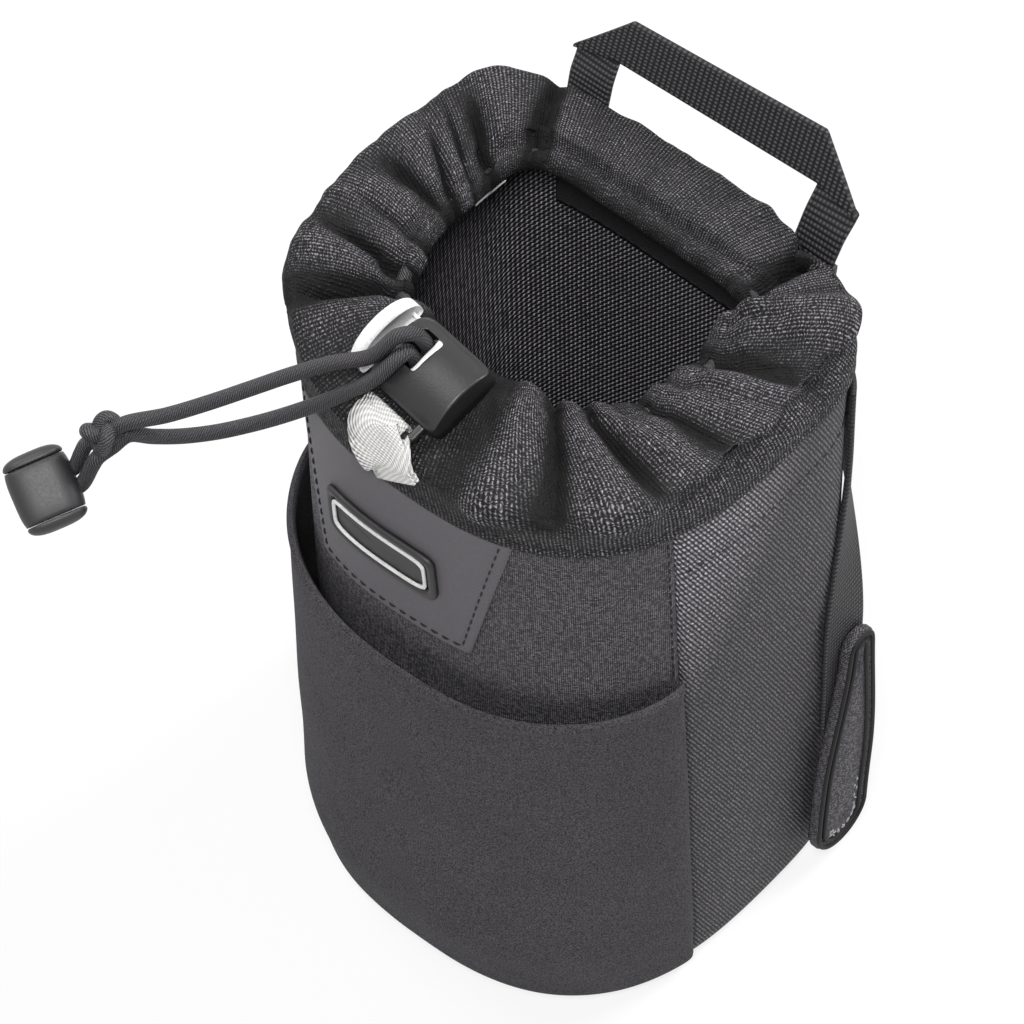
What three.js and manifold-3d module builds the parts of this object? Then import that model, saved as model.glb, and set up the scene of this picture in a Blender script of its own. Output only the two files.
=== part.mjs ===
// Lens pouch: a padded round-fronted pouch with a gathered drawcord collar, a stretch front pocket,
// a webbing carry handle and two belt straps behind. Lengths are millimetres and +Z is up.
// The front faces -Y, +X is the wearer's right-hand side of the picture, and the origin is the
// middle of the base.

import * as THREE from 'three';
import { mergeVertices } from 'three/addons/utils/BufferGeometryUtils.js';
import Module from 'manifold-3d';

const wasm = await Module();
wasm.setup();

// Body section and height. Each half of the section is a superellipse.
const rimHeight = 212;
const wallRise = 6;
const rimWidth = 130;
const baseWidth = 127;
const rimFrontDepth = 70.2;
const baseFrontDepth = 72;
const rimBackDepth = 43.7;
const baseBackDepth = 44.3;
const frontPower = 2.59;
const backPower = 4.05;
const baseCornerRadius = 8;
const frontSeamRimAngle = -31.5;
const frontSeamBaseAngle = -25.4;
const backSeamAngle = 37;

// Layers of the wall and base
const seamGap = 0.3;
const panelThickness = 1.2;
const foamThickness = 5;
const liningThickness = 0.9;
const basePanelThickness = 1.6;
const basePanelInset = 6;
const panelLift = 0.8;

// Stretch pocket
const pocketThickness = 1.8;
const pocketBulge = 6;
const pocketMouthGap = 5.9;
const pocketMouthHeight = 145;
const pocketMouthSag = 3;
const pocketLift = 1.2;
const pocketFillHeight = 34;

// Name patch and badge
const patchThickness = 0.9;
const patchCentreX = -6.5;
const patchTopWidth = 77;
const patchBottomWidth = 53;
const patchDrop = 58;
const patchSkew = 2.5;
const badgeWidth = 38;
const badgeHeight = 17;
const badgeThickness = 1.6;
const badgeBorder = 2.4;
const badgeDrop = 30.5;
const badgeShift = -1.5;
const badgeCornerRadius = 1.6;
const badgeTilt = 4;
const rimLineWidth = 1;
const rimLineThickness = 0.7;

// Gathered collar
const fabricThickness = 1.2;
const hemDrop = 1;
const collarRise = 19;
const collarBulge = 3.6;
const mouthCentreX = -3;
const mouthCentreY = -9;
const mouthWidth = 74;
const mouthFrontDepth = 27;
const mouthBackDepth = 28;
const mouthFrontPower = 2.2;
const mouthBackPower = 4.2;
const channelRadius = 3.7;
const channelDrop = 7.5;
const gatherDepth = 3.4;
const eyeletClearance = 0.6;

// Trim inside the mouth
const loopStripWidth = 62;
const loopStripHeight = 18;
const loopStripThickness = 1;
const loopStripDrop = 5;
const labelWidth = 14;
const labelDepth = 8;
const labelThickness = 0.6;
const labelShow = 1.4;

// Drawcord, knot and cord end. The knot and the cord end are placed from the lock's face.
const cordDiameter = 4;
const cordSpacing = 4.6;
const cordClearance = 0.3;
const knotDiameter = 12;
const knotFromLock = [-51, -60.5, -19];
const toggleFromKnot = [-7.8, -14.4, -16];
const toggleLength = 17;
const toggleBand = 14.4;
const toggleHeight = 14;
const toggleCapDepth = 3;
const toggleCornerRadius = 4;
const toggleBoreDepth = 7;
const toggleHeading = -120;
const togglePitch = -12.5;
const toggleRoll = 56;

// Cord lock
const lockFaceX = -12.2;
const lockSetback = 18.7;
const lockRise = 29;
const lockTilt = 22;
const lockTurn = -8;
const barrelWidth = 22;
const barrelThickness = 9.6;
const barrelSide = 2.6;
const barrelBefore = 6;
const barrelAfter = 19;
const barrelOffset = 2.5;
const barrelEndWall = 3;
const slotWidth = 5;
const slotHeight = 10.4;
const gripClearance = 0.3;
const buttonThickness = 4.5;
const buttonTravel = 3.3;
const stemWidth = 13.4;
const stemThickness = 4.6;
const stemBar = 2.2;
const springDiameter = 3.8;
const springWall = 0.7;
const tetherBarWidth = 2.4;
const tetherBarThickness = 2.2;
const tetherBarLift = 1.8;
const tetherSlotWidth = 3.2;
const tetherWidth = 15;
const tetherThickness = 1;
const tetherFootX = -3;
const tetherClearance = 0.5;

// Carry handle
const webbingThickness = 1.7;
const handleWebbing = 14.5;
const handleSpan = 90;
const handleSplay = 1.5;
const handleLegHeight = 17;
const handleLeanAngle = 22;
const handleAxisRise = 11;
const handleAnchorLength = 11;

// Belt straps
const strapWidth = 16;
const strapThickness = 1.7;
const strapAngle = 33;
const strapDrop = 25;
const strapAnchorLength = 13;
const strapHang = 0.03;
const strapFlatten = 75;
const strapEndHeight = 62;
const tabStandoff = 2.5;
const tabThickness = 3.5;
const tabMiddleY = 30.4;
const tabWidth = 22;
const tabTop = 101;
const tabBottom = 7;
const tabTopWidth = 11;
const tabTaper = 62;
const tabSlant = 5.6;
const hookThickness = 1.2;
const hookMargin = 3;
const loopPatchWidth = 24;
const loopPatchHeight = 78;
const loopPatchThickness = 1.2;
const loopPatchBottom = 16;
const loopPatchCentreX = 28;

// Overrun of a cutting solid past the face that it cuts
const cutOverrun = 2;

// Counts of facets
const frontColumns = 26;
const sideColumns = 10;
const backColumns = 16;
const ringColumns = 56;
const collarColumns = 76;
const tubeSides = 8;

// Colours
const black = 0x161617;
const blackGrey = 0x202022;
const charcoal = 0x2b2b2e;
const white = 0xe6e6e3;

const pouch = new THREE.Group();

function fabric(color, roughness = 0.9) {
  return new THREE.MeshStandardMaterial({ color, roughness, metalness: 0 });
}

function plastic(color, roughness = 0.4) {
  return new THREE.MeshStandardMaterial({ color, roughness, metalness: 0 });
}

function addPart(name, geometry, material, parent = pouch) {
  const mesh = new THREE.Mesh(geometry, material);
  mesh.name = name;
  parent.add(mesh);
  return mesh;
}

const radians = THREE.MathUtils.degToRad;
const mix = THREE.MathUtils.lerp;
const smooth = THREE.MathUtils.smoothstep;
const clamp = THREE.MathUtils.clamp;

// Closed geometry from points and triangles, turned so that its faces point outwards
function closedGeometry(points, triangles) {
  let volume = 0;
  for (const [a, b, c] of triangles) {
    volume += points[a].dot(new THREE.Vector3().crossVectors(points[b], points[c]));
  }
  const index = triangles.flatMap(([a, b, c]) => (volume < 0 ? [a, c, b] : [a, b, c]));
  const geometry = new THREE.BufferGeometry();
  const positions = points.flatMap((point) => [point.x, point.y, point.z]);
  geometry.setAttribute('position', new THREE.Float32BufferAttribute(positions, 3));
  geometry.setIndex(index);
  return geometry;
}

// A closed sheet between two grids of points. columns and rows are lists of parameter values, and
// the sheet joins its own first column when it goes all the way around.
function sheet(columns, rows, outer, inner, around = false) {
  const points = [];
  for (const surface of [outer, inner]) {
    for (const column of columns) {
      for (const row of rows) points.push(surface(column, row));
    }
  }
  const across = columns.length;
  const up = rows.length;
  const half = across * up;
  const at = (side, i, j) => side * half + (i % across) * up + j;
  const triangles = [];
  const quad = (a, b, c, d) => triangles.push([a, b, c], [a, c, d]);
  const spans = around ? across : across - 1;
  for (let i = 0; i < spans; i += 1) {
    for (let j = 0; j < up - 1; j += 1) {
      quad(at(0, i, j), at(0, i + 1, j), at(0, i + 1, j + 1), at(0, i, j + 1));
      quad(at(1, i, j), at(1, i, j + 1), at(1, i + 1, j + 1), at(1, i + 1, j));
    }
    quad(at(0, i, 0), at(1, i, 0), at(1, i + 1, 0), at(0, i + 1, 0));
    quad(at(0, i, up - 1), at(0, i + 1, up - 1), at(1, i + 1, up - 1), at(1, i, up - 1));
  }
  if (!around) {
    for (let j = 0; j < up - 1; j += 1) {
      const last = across - 1;
      quad(at(0, 0, j), at(0, 0, j + 1), at(1, 0, j + 1), at(1, 0, j));
      quad(at(0, last, j), at(1, last, j), at(1, last, j + 1), at(0, last, j + 1));
    }
  }
  return closedGeometry(points, triangles);
}

// A closed body through a row of equal loops, capped by fans or joined end to end
function loft(loops, around = false) {
  const count = loops[0].length;
  const points = loops.flat();
  const triangles = [];
  const spans = around ? loops.length : loops.length - 1;
  for (let i = 0; i < spans; i += 1) {
    const here = i * count;
    const next = ((i + 1) % loops.length) * count;
    for (let j = 0; j < count; j += 1) {
      const k = (j + 1) % count;
      triangles.push([here + j, here + k, next + k], [here + j, next + k, next + j]);
    }
  }
  if (!around) {
    for (const [loop, start] of [[loops[0], 0], [loops.at(-1), points.length - count]]) {
      const middle = new THREE.Vector3();
      for (const point of loop) middle.addScaledVector(point, 1 / count);
      const centre = points.push(middle) - 1;
      for (let j = 0; j < count; j += 1) {
        const k = (j + 1) % count;
        triangles.push(start === 0 ? [centre, start + k, start + j] : [centre, start + j, start + k]);
      }
    }
  }
  return closedGeometry(points, triangles);
}

function steps(from, to, count) {
  return Array.from({ length: count + 1 }, (_, i) => mix(from, to, i / count));
}

function toSolid(geometry) {
  const bare = geometry.clone();
  bare.deleteAttribute('normal');
  bare.deleteAttribute('uv');
  const merged = mergeVertices(bare);
  const vertProperties = new Float32Array(merged.attributes.position.array);
  const triVerts = new Uint32Array(merged.index.array);
  return new wasm.Manifold(new wasm.Mesh({ numProp: 3, vertProperties, triVerts }));
}

function fromSolid(solid) {
  const mesh = solid.getMesh();
  const geometry = new THREE.BufferGeometry();
  geometry.setAttribute('position', new THREE.Float32BufferAttribute(mesh.vertProperties, 3));
  geometry.setIndex(Array.from(mesh.triVerts));
  return geometry;
}

function tube(curve, diameter, count) {
  const section = new THREE.Shape();
  for (let i = 0; i < tubeSides; i += 1) {
    const angle = (2 * Math.PI * i) / tubeSides;
    const x = (diameter / 2) * Math.cos(angle);
    const y = (diameter / 2) * Math.sin(angle);
    if (i === 0) section.moveTo(x, y);
    else section.lineTo(x, y);
  }
  section.closePath();
  return new THREE.ExtrudeGeometry(section, { steps: count, extrudePath: curve, bevelEnabled: false });
}

// Distance that a round base corner pulls the wall in, at a height above the floor
function cornerInset(height) {
  const below = clamp(baseCornerRadius - height, 0, baseCornerRadius);
  return baseCornerRadius - Math.sqrt(baseCornerRadius ** 2 - below ** 2);
}

// The body's half width, depth and power on the side that an angle looks to, at a height
function sectionSizes(front, height) {
  const rise = height / rimHeight;
  const halfWidth = mix(baseWidth, rimWidth, rise) / 2;
  const depth = front
    ? mix(baseFrontDepth, rimFrontDepth, rise)
    : mix(baseBackDepth, rimBackDepth, rise);
  return { halfWidth, depth, power: front ? frontPower : backPower };
}

// A point of the body's surface with its level outward normal, from its coordinates
function surfaceFrame(x, y, height) {
  const { halfWidth, depth, power } = sectionSizes(y < 0, height);
  const normal = new THREE.Vector3(
    Math.sign(x) * Math.abs(x / halfWidth) ** (power - 1) / halfWidth,
    Math.sign(y) * Math.abs(y / depth) ** (power - 1) / depth,
    0,
  ).normalize();
  return { point: new THREE.Vector3(x, y, height), normal };
}

// The wall at an angle seen from above and a height, moved outwards by a distance
function wallPoint(angle, height, out) {
  const { halfWidth, depth, power } = sectionSizes(Math.sin(angle) < 0, height);
  const across = Math.abs(Math.cos(angle) / halfWidth) ** power;
  const deep = Math.abs(Math.sin(angle) / depth) ** power;
  const reach = (across + deep) ** (-1 / power);
  const frame = surfaceFrame(reach * Math.cos(angle), reach * Math.sin(angle), height);
  return frame.point.addScaledVector(frame.normal, out - cornerInset(height));
}

// The front wall above a place on the X axis
function frontPoint(x, height, out) {
  const { halfWidth, depth, power } = sectionSizes(true, height);
  const y = -depth * (1 - Math.abs(x / halfWidth) ** power) ** (1 / power);
  const frame = surfaceFrame(x, y, height);
  return frame.point.addScaledVector(frame.normal, out);
}

function seamAngle(height) {
  return radians(mix(frontSeamBaseAngle, frontSeamRimAngle, height / rimHeight));
}

const wallTop = rimHeight + wallRise;
const foamOuter = panelThickness + seamGap;
const liningOuter = foamOuter + foamThickness + seamGap;
const liningInner = liningOuter + liningThickness;
const baseFoamBottom = basePanelThickness + seamGap;
const baseFoamTop = baseFoamBottom + foamThickness;
const wallFoamBottom = baseFoamTop + seamGap;
const baseLiningTop = wallFoamBottom + liningThickness;
const liningBottom = baseLiningTop + seamGap;

// Heights of a wall's rows, close together in the rounded base corner
const wallRowShares = [0.33, 0.67, 1];
function wallRows(from, to) {
  const rows = [from];
  const cornerSteps = 5;
  for (let i = 1; i <= cornerSteps; i += 1) {
    const height = baseCornerRadius * (1 - Math.cos((Math.PI / 2) * (i / cornerSteps)));
    if (height > from + seamGap) rows.push(height);
  }
  const lastCorner = rows.at(-1);
  for (const share of wallRowShares) rows.push(mix(lastCorner, to, share));
  return rows;
}

// One wall panel between two seams, each given as the seam's angle at a height
function wallSheet(count, startAngle, endAngle, rows, near, far) {
  const angleAt = (share, height) => mix(startAngle(height), endAngle(height), share);
  const outer = (share, height) => wallPoint(angleAt(share, height), height, -near);
  const inner = (share, height) => wallPoint(angleAt(share, height), height, -far);
  return sheet(steps(0, 1, count), rows, outer, inner);
}

// Half of the seam gap as an angle about the body's axis
const seamGapAngle = seamGap / rimWidth;
const rightFront = (height) => seamAngle(height) - seamGapAngle;
const leftFront = (height) => -Math.PI - seamAngle(height) + seamGapAngle;
const rightSide = (height) => seamAngle(height) + seamGapAngle;
const rightBack = () => radians(backSeamAngle) - seamGapAngle;
const backRight = () => radians(backSeamAngle) + seamGapAngle;
const backLeft = () => Math.PI - radians(backSeamAngle) - seamGapAngle;
const leftBack = () => Math.PI - radians(backSeamAngle) + seamGapAngle;
const leftSide = (height) => Math.PI - seamAngle(height) - seamGapAngle;

const walls = [
  { name: 'front', count: frontColumns, from: leftFront, to: rightFront, color: black },
  { name: 'right', count: sideColumns, from: rightSide, to: rightBack, color: blackGrey },
  { name: 'back', count: backColumns, from: backRight, to: backLeft, color: blackGrey },
  { name: 'left', count: sideColumns, from: leftBack, to: leftSide, color: blackGrey },
];

for (const wall of walls) {
  const panelRows = wallRows(panelLift, wallTop);
  const panel = wallSheet(wall.count, wall.from, wall.to, panelRows, 0, panelThickness);
  addPart(`${wall.name}_panel`, panel, fabric(wall.color));
  const foamRows = wallRows(wallFoamBottom, wallTop - seamGap);
  const foamInner = foamOuter + foamThickness;
  const foam = wallSheet(wall.count, wall.from, wall.to, foamRows, foamOuter, foamInner);
  addPart(`${wall.name}_foam`, foam, fabric(charcoal, 1));
}

// A flat piece of the base between two heights, following the wall at a distance inside it
function basePiece(bottom, top, inset, rings = 1) {
  const loopAt = (height) => {
    const angles = steps(0, 2 * Math.PI, ringColumns).slice(0, -1);
    return angles.map((angle) => wallPoint(angle, height, -inset));
  };
  return loft(steps(bottom, top, rings).map(loopAt));
}

// The base panel is cut square, without the wall's rounded corner
function baseLoop(height) {
  const angles = steps(0, 2 * Math.PI, ringColumns).slice(0, -1);
  return angles.map((angle) => {
    const point = wallPoint(angle, baseCornerRadius, -basePanelInset);
    return point.setZ(height);
  });
}

addPart('base_panel', loft([baseLoop(0), baseLoop(basePanelThickness)]), fabric(black));
addPart('base_foam', basePiece(baseFoamBottom, baseFoamTop, foamOuter, 4), fabric(charcoal, 1));
addPart('base_lining', basePiece(wallFoamBottom, baseLiningTop, liningOuter), fabric(black));

const liningAngles = steps(0, 2 * Math.PI, ringColumns).slice(0, -1);
const wallLining = sheet(
  liningAngles,
  steps(liningBottom, wallTop - seamGap, 3),
  (angle, height) => wallPoint(angle, height, -liningOuter),
  (angle, height) => wallPoint(angle, height, -liningInner),
  true,
);
addPart('wall_lining', wallLining, fabric(charcoal));

// Stretch pocket: its space swells from the base, then draws in a little at the mouth, and its
// ends lie in the two front seams
function pocketSpace(share, height) {
  const fill = smooth(height, 0, pocketFillHeight);
  const draw = smooth(height, pocketMouthHeight / 2, pocketMouthHeight);
  const edge = Math.sin(Math.PI * share) ** 0.45;
  return seamGap + (mix(pocketBulge, pocketMouthGap, draw) - seamGap) * fill * edge;
}

const pocketTurns = 14;
function pocketHeight(share, level) {
  const mouth = pocketMouthHeight - pocketMouthSag * Math.sin(Math.PI * share);
  const rows = wallRows(pocketLift, pocketMouthHeight);
  const corner = rows.filter((height) => height < baseCornerRadius);
  if (level < corner.length) return corner[level];
  const rise = (level - corner.length) / (pocketTurns - corner.length);
  return mix(baseCornerRadius, mouth, rise);
}

function pocketPoint(share, level, thickness) {
  const height = pocketHeight(share, level);
  const angle = mix(leftFront(height), rightFront(height), share);
  return wallPoint(angle, height, pocketSpace(share, height) + thickness);
}

const stretchPocket = sheet(
  steps(0, 1, frontColumns + 2),
  steps(0, pocketTurns, pocketTurns),
  (share, level) => pocketPoint(share, level, pocketThickness),
  (share, level) => pocketPoint(share, level, 0),
);
addPart('stretch_pocket', stretchPocket, fabric(charcoal));

// Name patch on the front panel, wider at the top where the collar's hem covers it
const hemBottom = rimHeight - hemDrop;
const patchTop = hemBottom - seamGap;
const patchBottom = rimHeight - patchDrop;
function patchPoint(share, level, out) {
  const width = mix(patchBottomWidth, patchTopWidth, level);
  const skew = patchSkew * (2 * share - 1) * (1 - level);
  const height = mix(patchBottom, patchTop, level) + skew;
  return frontPoint(patchCentreX + width * (share - 1 / 2), height, seamGap + out);
}

const patch = sheet(
  steps(0, 1, 12),
  steps(0, 1, 3),
  (share, level) => patchPoint(share, level, patchThickness),
  (share, level) => patchPoint(share, level, 0),
);
addPart('name_patch', patch, fabric(blackGrey));

// A point on the badge from its middle, along and up, lying on the patch
const badgeHeightAbove = rimHeight - badgeDrop;
function badgePoint(along, up, out) {
  const turn = radians(badgeTilt);
  const x = patchCentreX + badgeShift + along * Math.cos(turn) - up * Math.sin(turn);
  const height = badgeHeightAbove + along * Math.sin(turn) + up * Math.cos(turn);
  return frontPoint(x, height, 2 * seamGap + patchThickness + out);
}

// Outline of a rectangle with round corners, as [along, up] pairs from its middle
function roundRectangle(width, height, radius, cornerSteps, sideSteps) {
  const pairs = [];
  const corners = [[1, -1, -90], [1, 1, 0], [-1, 1, 90], [-1, -1, 180]];
  for (const [signX, signY, start] of corners) {
    for (let i = 0; i <= cornerSteps; i += 1) {
      const angle = radians(start + (90 * i) / cornerSteps);
      pairs.push([
        signX * (width / 2 - radius) + radius * Math.cos(angle),
        signY * (height / 2 - radius) + radius * Math.sin(angle),
      ]);
    }
    const [x, y] = pairs.at(-1);
    const alongX = signX === signY;
    for (let i = 1; i < sideSteps; i += 1) {
      const share = i / sideSteps;
      pairs.push(alongX ? [mix(x, -x, share), y] : [x, mix(y, -y, share)]);
    }
  }
  return pairs;
}

// A ring between two rounded rectangles on the badge's place, raised by a thickness
function badgeRing(width, height, radius, border, bottom, thickness) {
  const wide = roundRectangle(width, height, radius, 3, 6);
  const innerRadius = Math.max(radius - border, radius / 4);
  const narrow = roundRectangle(width - 2 * border, height - 2 * border, innerRadius, 3, 6);
  const loops = wide.map(([along, up], i) => {
    const [nearAlong, nearUp] = narrow[i];
    return [
      badgePoint(along, up, bottom),
      badgePoint(along, up, bottom + thickness),
      badgePoint(nearAlong, nearUp, bottom + thickness),
      badgePoint(nearAlong, nearUp, bottom),
    ];
  });
  return loft(loops, true);
}

const badgeInnerWidth = badgeWidth - 2 * badgeBorder - 2 * seamGap;
const badgeInnerHeight = badgeHeight - 2 * badgeBorder - 2 * seamGap;
const frame = badgeRing(badgeWidth, badgeHeight, badgeCornerRadius, badgeBorder, 0, badgeThickness);
addPart('badge_frame', frame, plastic(black, 0.5));
const lineRing = badgeRing(
  badgeInnerWidth,
  badgeInnerHeight,
  badgeCornerRadius,
  rimLineWidth,
  rimLineThickness + seamGap,
  rimLineThickness,
);
addPart('badge_rim', lineRing, plastic(white, 0.5));
const platePoint = (out) => (along, up) => badgePoint(along, up, out);
const plate = sheet(
  steps(-badgeInnerWidth / 2, badgeInnerWidth / 2, 8),
  steps(-badgeInnerHeight / 2, badgeInnerHeight / 2, 1),
  platePoint(rimLineThickness),
  platePoint(0),
);
addPart('badge_plate', plate, plastic(blackGrey, 0.6));

// Gathered collar. Its outer foot is the hem over the wall's top, and its inner edge is the
// drawcord channel around the mouth.
function mouthPoint(angle) {
  const front = Math.sin(angle) < 0;
  const depth = front ? mouthFrontDepth : mouthBackDepth;
  const power = front ? mouthFrontPower : mouthBackPower;
  const across = Math.abs(Math.cos(angle) / (mouthWidth / 2)) ** power;
  const deep = Math.abs(Math.sin(angle) / depth) ** power;
  const reach = (across + deep) ** (-1 / power);
  return new THREE.Vector3(
    mouthCentreX + reach * Math.cos(angle),
    mouthCentreY + reach * Math.sin(angle),
    0,
  );
}

// Angles of the gathers' valleys around the mouth, in degrees, with each one's half width. None
// lies across the back, where the collar is a smooth roll.
const gatherAngles = [
  [137, 8], [156, 8], [172, 9], [190, 8], [208, 9], [224, 8], [262, 10],
  [306, 9], [324, 8], [345, 8], [3, 8], [21, 9], [42, 8],
];

// One at a valley's middle and nought away from every valley
function gather(angle) {
  const degrees = THREE.MathUtils.radToDeg(angle);
  let depth = 0;
  for (const [middle, half] of gatherAngles) {
    const away = Math.abs(THREE.MathUtils.euclideanModulo(degrees - middle + 180, 360) - 180);
    depth = Math.max(depth, Math.exp(-((away / half) ** 2) * 2));
  }
  return depth;
}

// One across the back roll and nought over the front and sides
function backRoll(angle) {
  const away = Math.abs(THREE.MathUtils.radToDeg(angle) - 90);
  return 1 - smooth(away, 32, 48);
}

// Cord lock: its frame's X runs up the collar, its Y out of the face and its Z along the barrel
const lock = new THREE.Group();
const lockAlong = new THREE.Vector3(Math.cos(radians(lockTurn)), Math.sin(radians(lockTurn)), 0);
const lockLevel = new THREE.Vector3(-lockAlong.y, lockAlong.x, 0);
const lockUp = lockLevel.clone().multiplyScalar(Math.cos(radians(lockTilt)));
lockUp.z = Math.sin(radians(lockTilt));
const lockOut = new THREE.Vector3().crossVectors(lockAlong, lockUp);
const lockFace = new THREE.Vector3(lockFaceX, -(rimFrontDepth - lockSetback), rimHeight + lockRise);
lock.quaternion.setFromRotationMatrix(new THREE.Matrix4().makeBasis(lockUp, lockOut, lockAlong));
lock.position.copy(lockFace).addScaledVector(lockOut, -barrelThickness);
lock.updateMatrixWorld();
pouch.add(lock);

// Height of the plane just under the lock's back, which the pressed collar stays below
function seatHeight(point) {
  const rise = lockOut.x * (point.x - lock.position.x) + lockOut.y * (point.y - lock.position.y);
  return lock.position.z - rise / lockOut.z - seamGap / lockOut.z;
}

// One where the cord lock presses the collar down and nought a quarter turn away
const lockAngle = Math.atan2(-(rimFrontDepth - lockSetback), lockFaceX);
function pressed(angle) {
  const away = Math.abs(THREE.MathUtils.euclideanModulo(angle - lockAngle + Math.PI, 2 * Math.PI) - Math.PI);
  return 1 - smooth(away, radians(20), radians(38));
}

const collarTop = rimHeight + collarRise;
const channelHeight = collarTop - channelDrop;

// The collar at one angle, as the foot on the wall, the unit direction in and the width in
function collarFrame(angle) {
  const foot = wallPoint(angle, rimHeight, 0);
  const mouth = mouthPoint(angle).setZ(rimHeight);
  const inward = mouth.sub(foot);
  const width = inward.length();
  return { foot, inward: inward.divideScalar(width), width };
}

function collarPlace(frameAt, across, height) {
  return frameAt.foot.clone().addScaledVector(frameAt.inward, across).setZ(height);
}

// Shares of the collar's rise and width on its way from the hem to the channel
const outerRiseShares = [0, 0.32, 0.5, 0.68, 0.83, 0.95];
const outerBulgeShares = [0, 0.05, 0.45, 1, 0.95, 0.3];
const topWidthShares = [0.2, 0.42, 0.66];
const topDropShares = [0, 0.05, 0.3];
const channelAngles = [115, 80, 40, 0, -45, -90, -125];
const risingPoints = 4;
const shoulderShare = 0.6;

function collarLoop(angle) {
  const frameAt = collarFrame(angle);
  const valley = gather(angle);
  const roll = backRoll(angle);
  const press = pressed(angle);
  const bulge = collarBulge * (1 - roll) * (1 - press) * (1 - valley / 2);
  const top = collarTop - gatherDepth * valley;
  const outer = [];
  const settle = (across, height) => {
    const over = Math.max(height - seatHeight(collarPlace(frameAt, across, height)), 0);
    outer.push([across, height - press * over]);
  };
  outerRiseShares.forEach((share, i) => {
    const out = seamGap + fabricThickness + bulge * outerBulgeShares[i];
    settle(-out, mix(hemBottom, top, share));
  });
  topWidthShares.forEach((share, i) => {
    const drop = (top - channelHeight - channelRadius) * topDropShares[i];
    settle(frameAt.width * share, top - drop);
  });
  const inner = outer.map(([across, height], i) => {
    if (i === 0) return [across + fabricThickness, height];
    const rising = i < risingPoints;
    const over = rising ? fabricThickness : fabricThickness * shoulderShare;
    const under = rising ? fabricThickness * (1 - shoulderShare) : fabricThickness;
    return [across + over, height - under];
  });
  const channelAcross = frameAt.width - channelRadius;
  channelAngles.forEach((degrees) => {
    const turn = radians(degrees);
    const ring = (radius) => [
      channelAcross + radius * Math.cos(turn),
      channelHeight + radius * Math.sin(turn),
    ];
    outer.push(ring(channelRadius));
    inner.push(ring(channelRadius - fabricThickness));
  });
  const profile = [...outer, ...inner.reverse()];
  return profile.map(([across, height]) => collarPlace(frameAt, across, height));
}

const collarAngles = steps(0, 2 * Math.PI, collarColumns).slice(0, -1);
const collarShell = loft(collarAngles.map(collarLoop), true);

function block(width, height, depth, x, y, z) {
  const geometry = new THREE.BoxGeometry(width, height, depth);
  return geometry.translate(x, y, z);
}

// The half-round section of the barrel and the button, from a flat back to an arched face
function archShape(width, thickness, side, middle) {
  const shape = new THREE.Shape();
  shape.moveTo(middle - width / 2, 0);
  shape.lineTo(middle + width / 2, 0);
  shape.lineTo(middle + width / 2, side);
  const arcSteps = 14;
  for (let i = 1; i < arcSteps; i += 1) {
    const angle = (Math.PI * i) / arcSteps;
    shape.lineTo(middle + (width / 2) * Math.cos(angle), side + (thickness - side) * Math.sin(angle));
  }
  shape.lineTo(middle - width / 2, side);
  shape.closePath();
  return shape;
}

function archBlock(width, thickness, side, middle, from, to) {
  const shape = archShape(width, thickness, side, middle);
  const geometry = new THREE.ExtrudeGeometry(shape, { depth: to - from, bevelEnabled: false });
  return geometry.translate(0, 0, from);
}

const barrelMiddle = -barrelOffset;
const stemMiddleY = barrelThickness / 2;
const gripBefore = cordDiameter / 2 + gripClearance;
const slotEnd = gripBefore + slotWidth / 2;
const boreEnd = barrelAfter - barrelEndWall;
const stemEnd = gripBefore + stemBar;
const buttonInner = -barrelBefore - buttonTravel - gripClearance;

function lockBarrel() {
  const body = toSolid(archBlock(barrelWidth, barrelThickness, barrelSide, barrelMiddle, -barrelBefore, barrelAfter));
  const slotLength = slotEnd + gripBefore;
  const slot = block(
    slotHeight,
    barrelThickness + 2 * cutOverrun,
    slotLength,
    0,
    barrelThickness / 2,
    slotEnd - slotLength / 2,
  );
  const boreLength = boreEnd + barrelBefore + cutOverrun;
  const bore = block(
    stemWidth + 2 * gripClearance,
    stemThickness + 2 * gripClearance,
    boreLength,
    0,
    stemMiddleY,
    boreEnd - boreLength / 2,
  );
  const tetherBar = tetherLoop();
  return fromSolid(body.add(tetherBar).subtract(toSolid(slot)).subtract(toSolid(bore)));
}

// A flat loop on the barrel's lower edge that the tether folds around
const tetherMiddleZ = barrelAfter / 4;
const barrelLowEdge = barrelMiddle - barrelWidth / 2;
const tetherLoopInner = barrelLowEdge - tetherSlotWidth;
const tetherLoopOuter = tetherLoopInner - tetherBarWidth;
function tetherLoop() {
  const endWidth = tetherBarWidth;
  const loopLength = tetherWidth + 2 * endWidth + 2 * gripClearance;
  const plateDepth = barrelLowEdge + cutOverrun - tetherLoopOuter;
  const plateMiddle = tetherLoopOuter + plateDepth / 2;
  const barMiddleY = tetherBarLift + tetherBarThickness / 2;
  const outline = block(plateDepth, tetherBarThickness, loopLength, plateMiddle, barMiddleY, tetherMiddleZ);
  const holeMiddle = tetherLoopInner + tetherSlotWidth / 2;
  const hole = block(
    tetherSlotWidth,
    tetherBarThickness + 2 * cutOverrun,
    tetherWidth + 2 * gripClearance,
    holeMiddle,
    barMiddleY,
    tetherMiddleZ,
  );
  return toSolid(outline).subtract(toSolid(hole));
}

addPart('lock_barrel', lockBarrel(), plastic(black, 0.45), lock);

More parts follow.
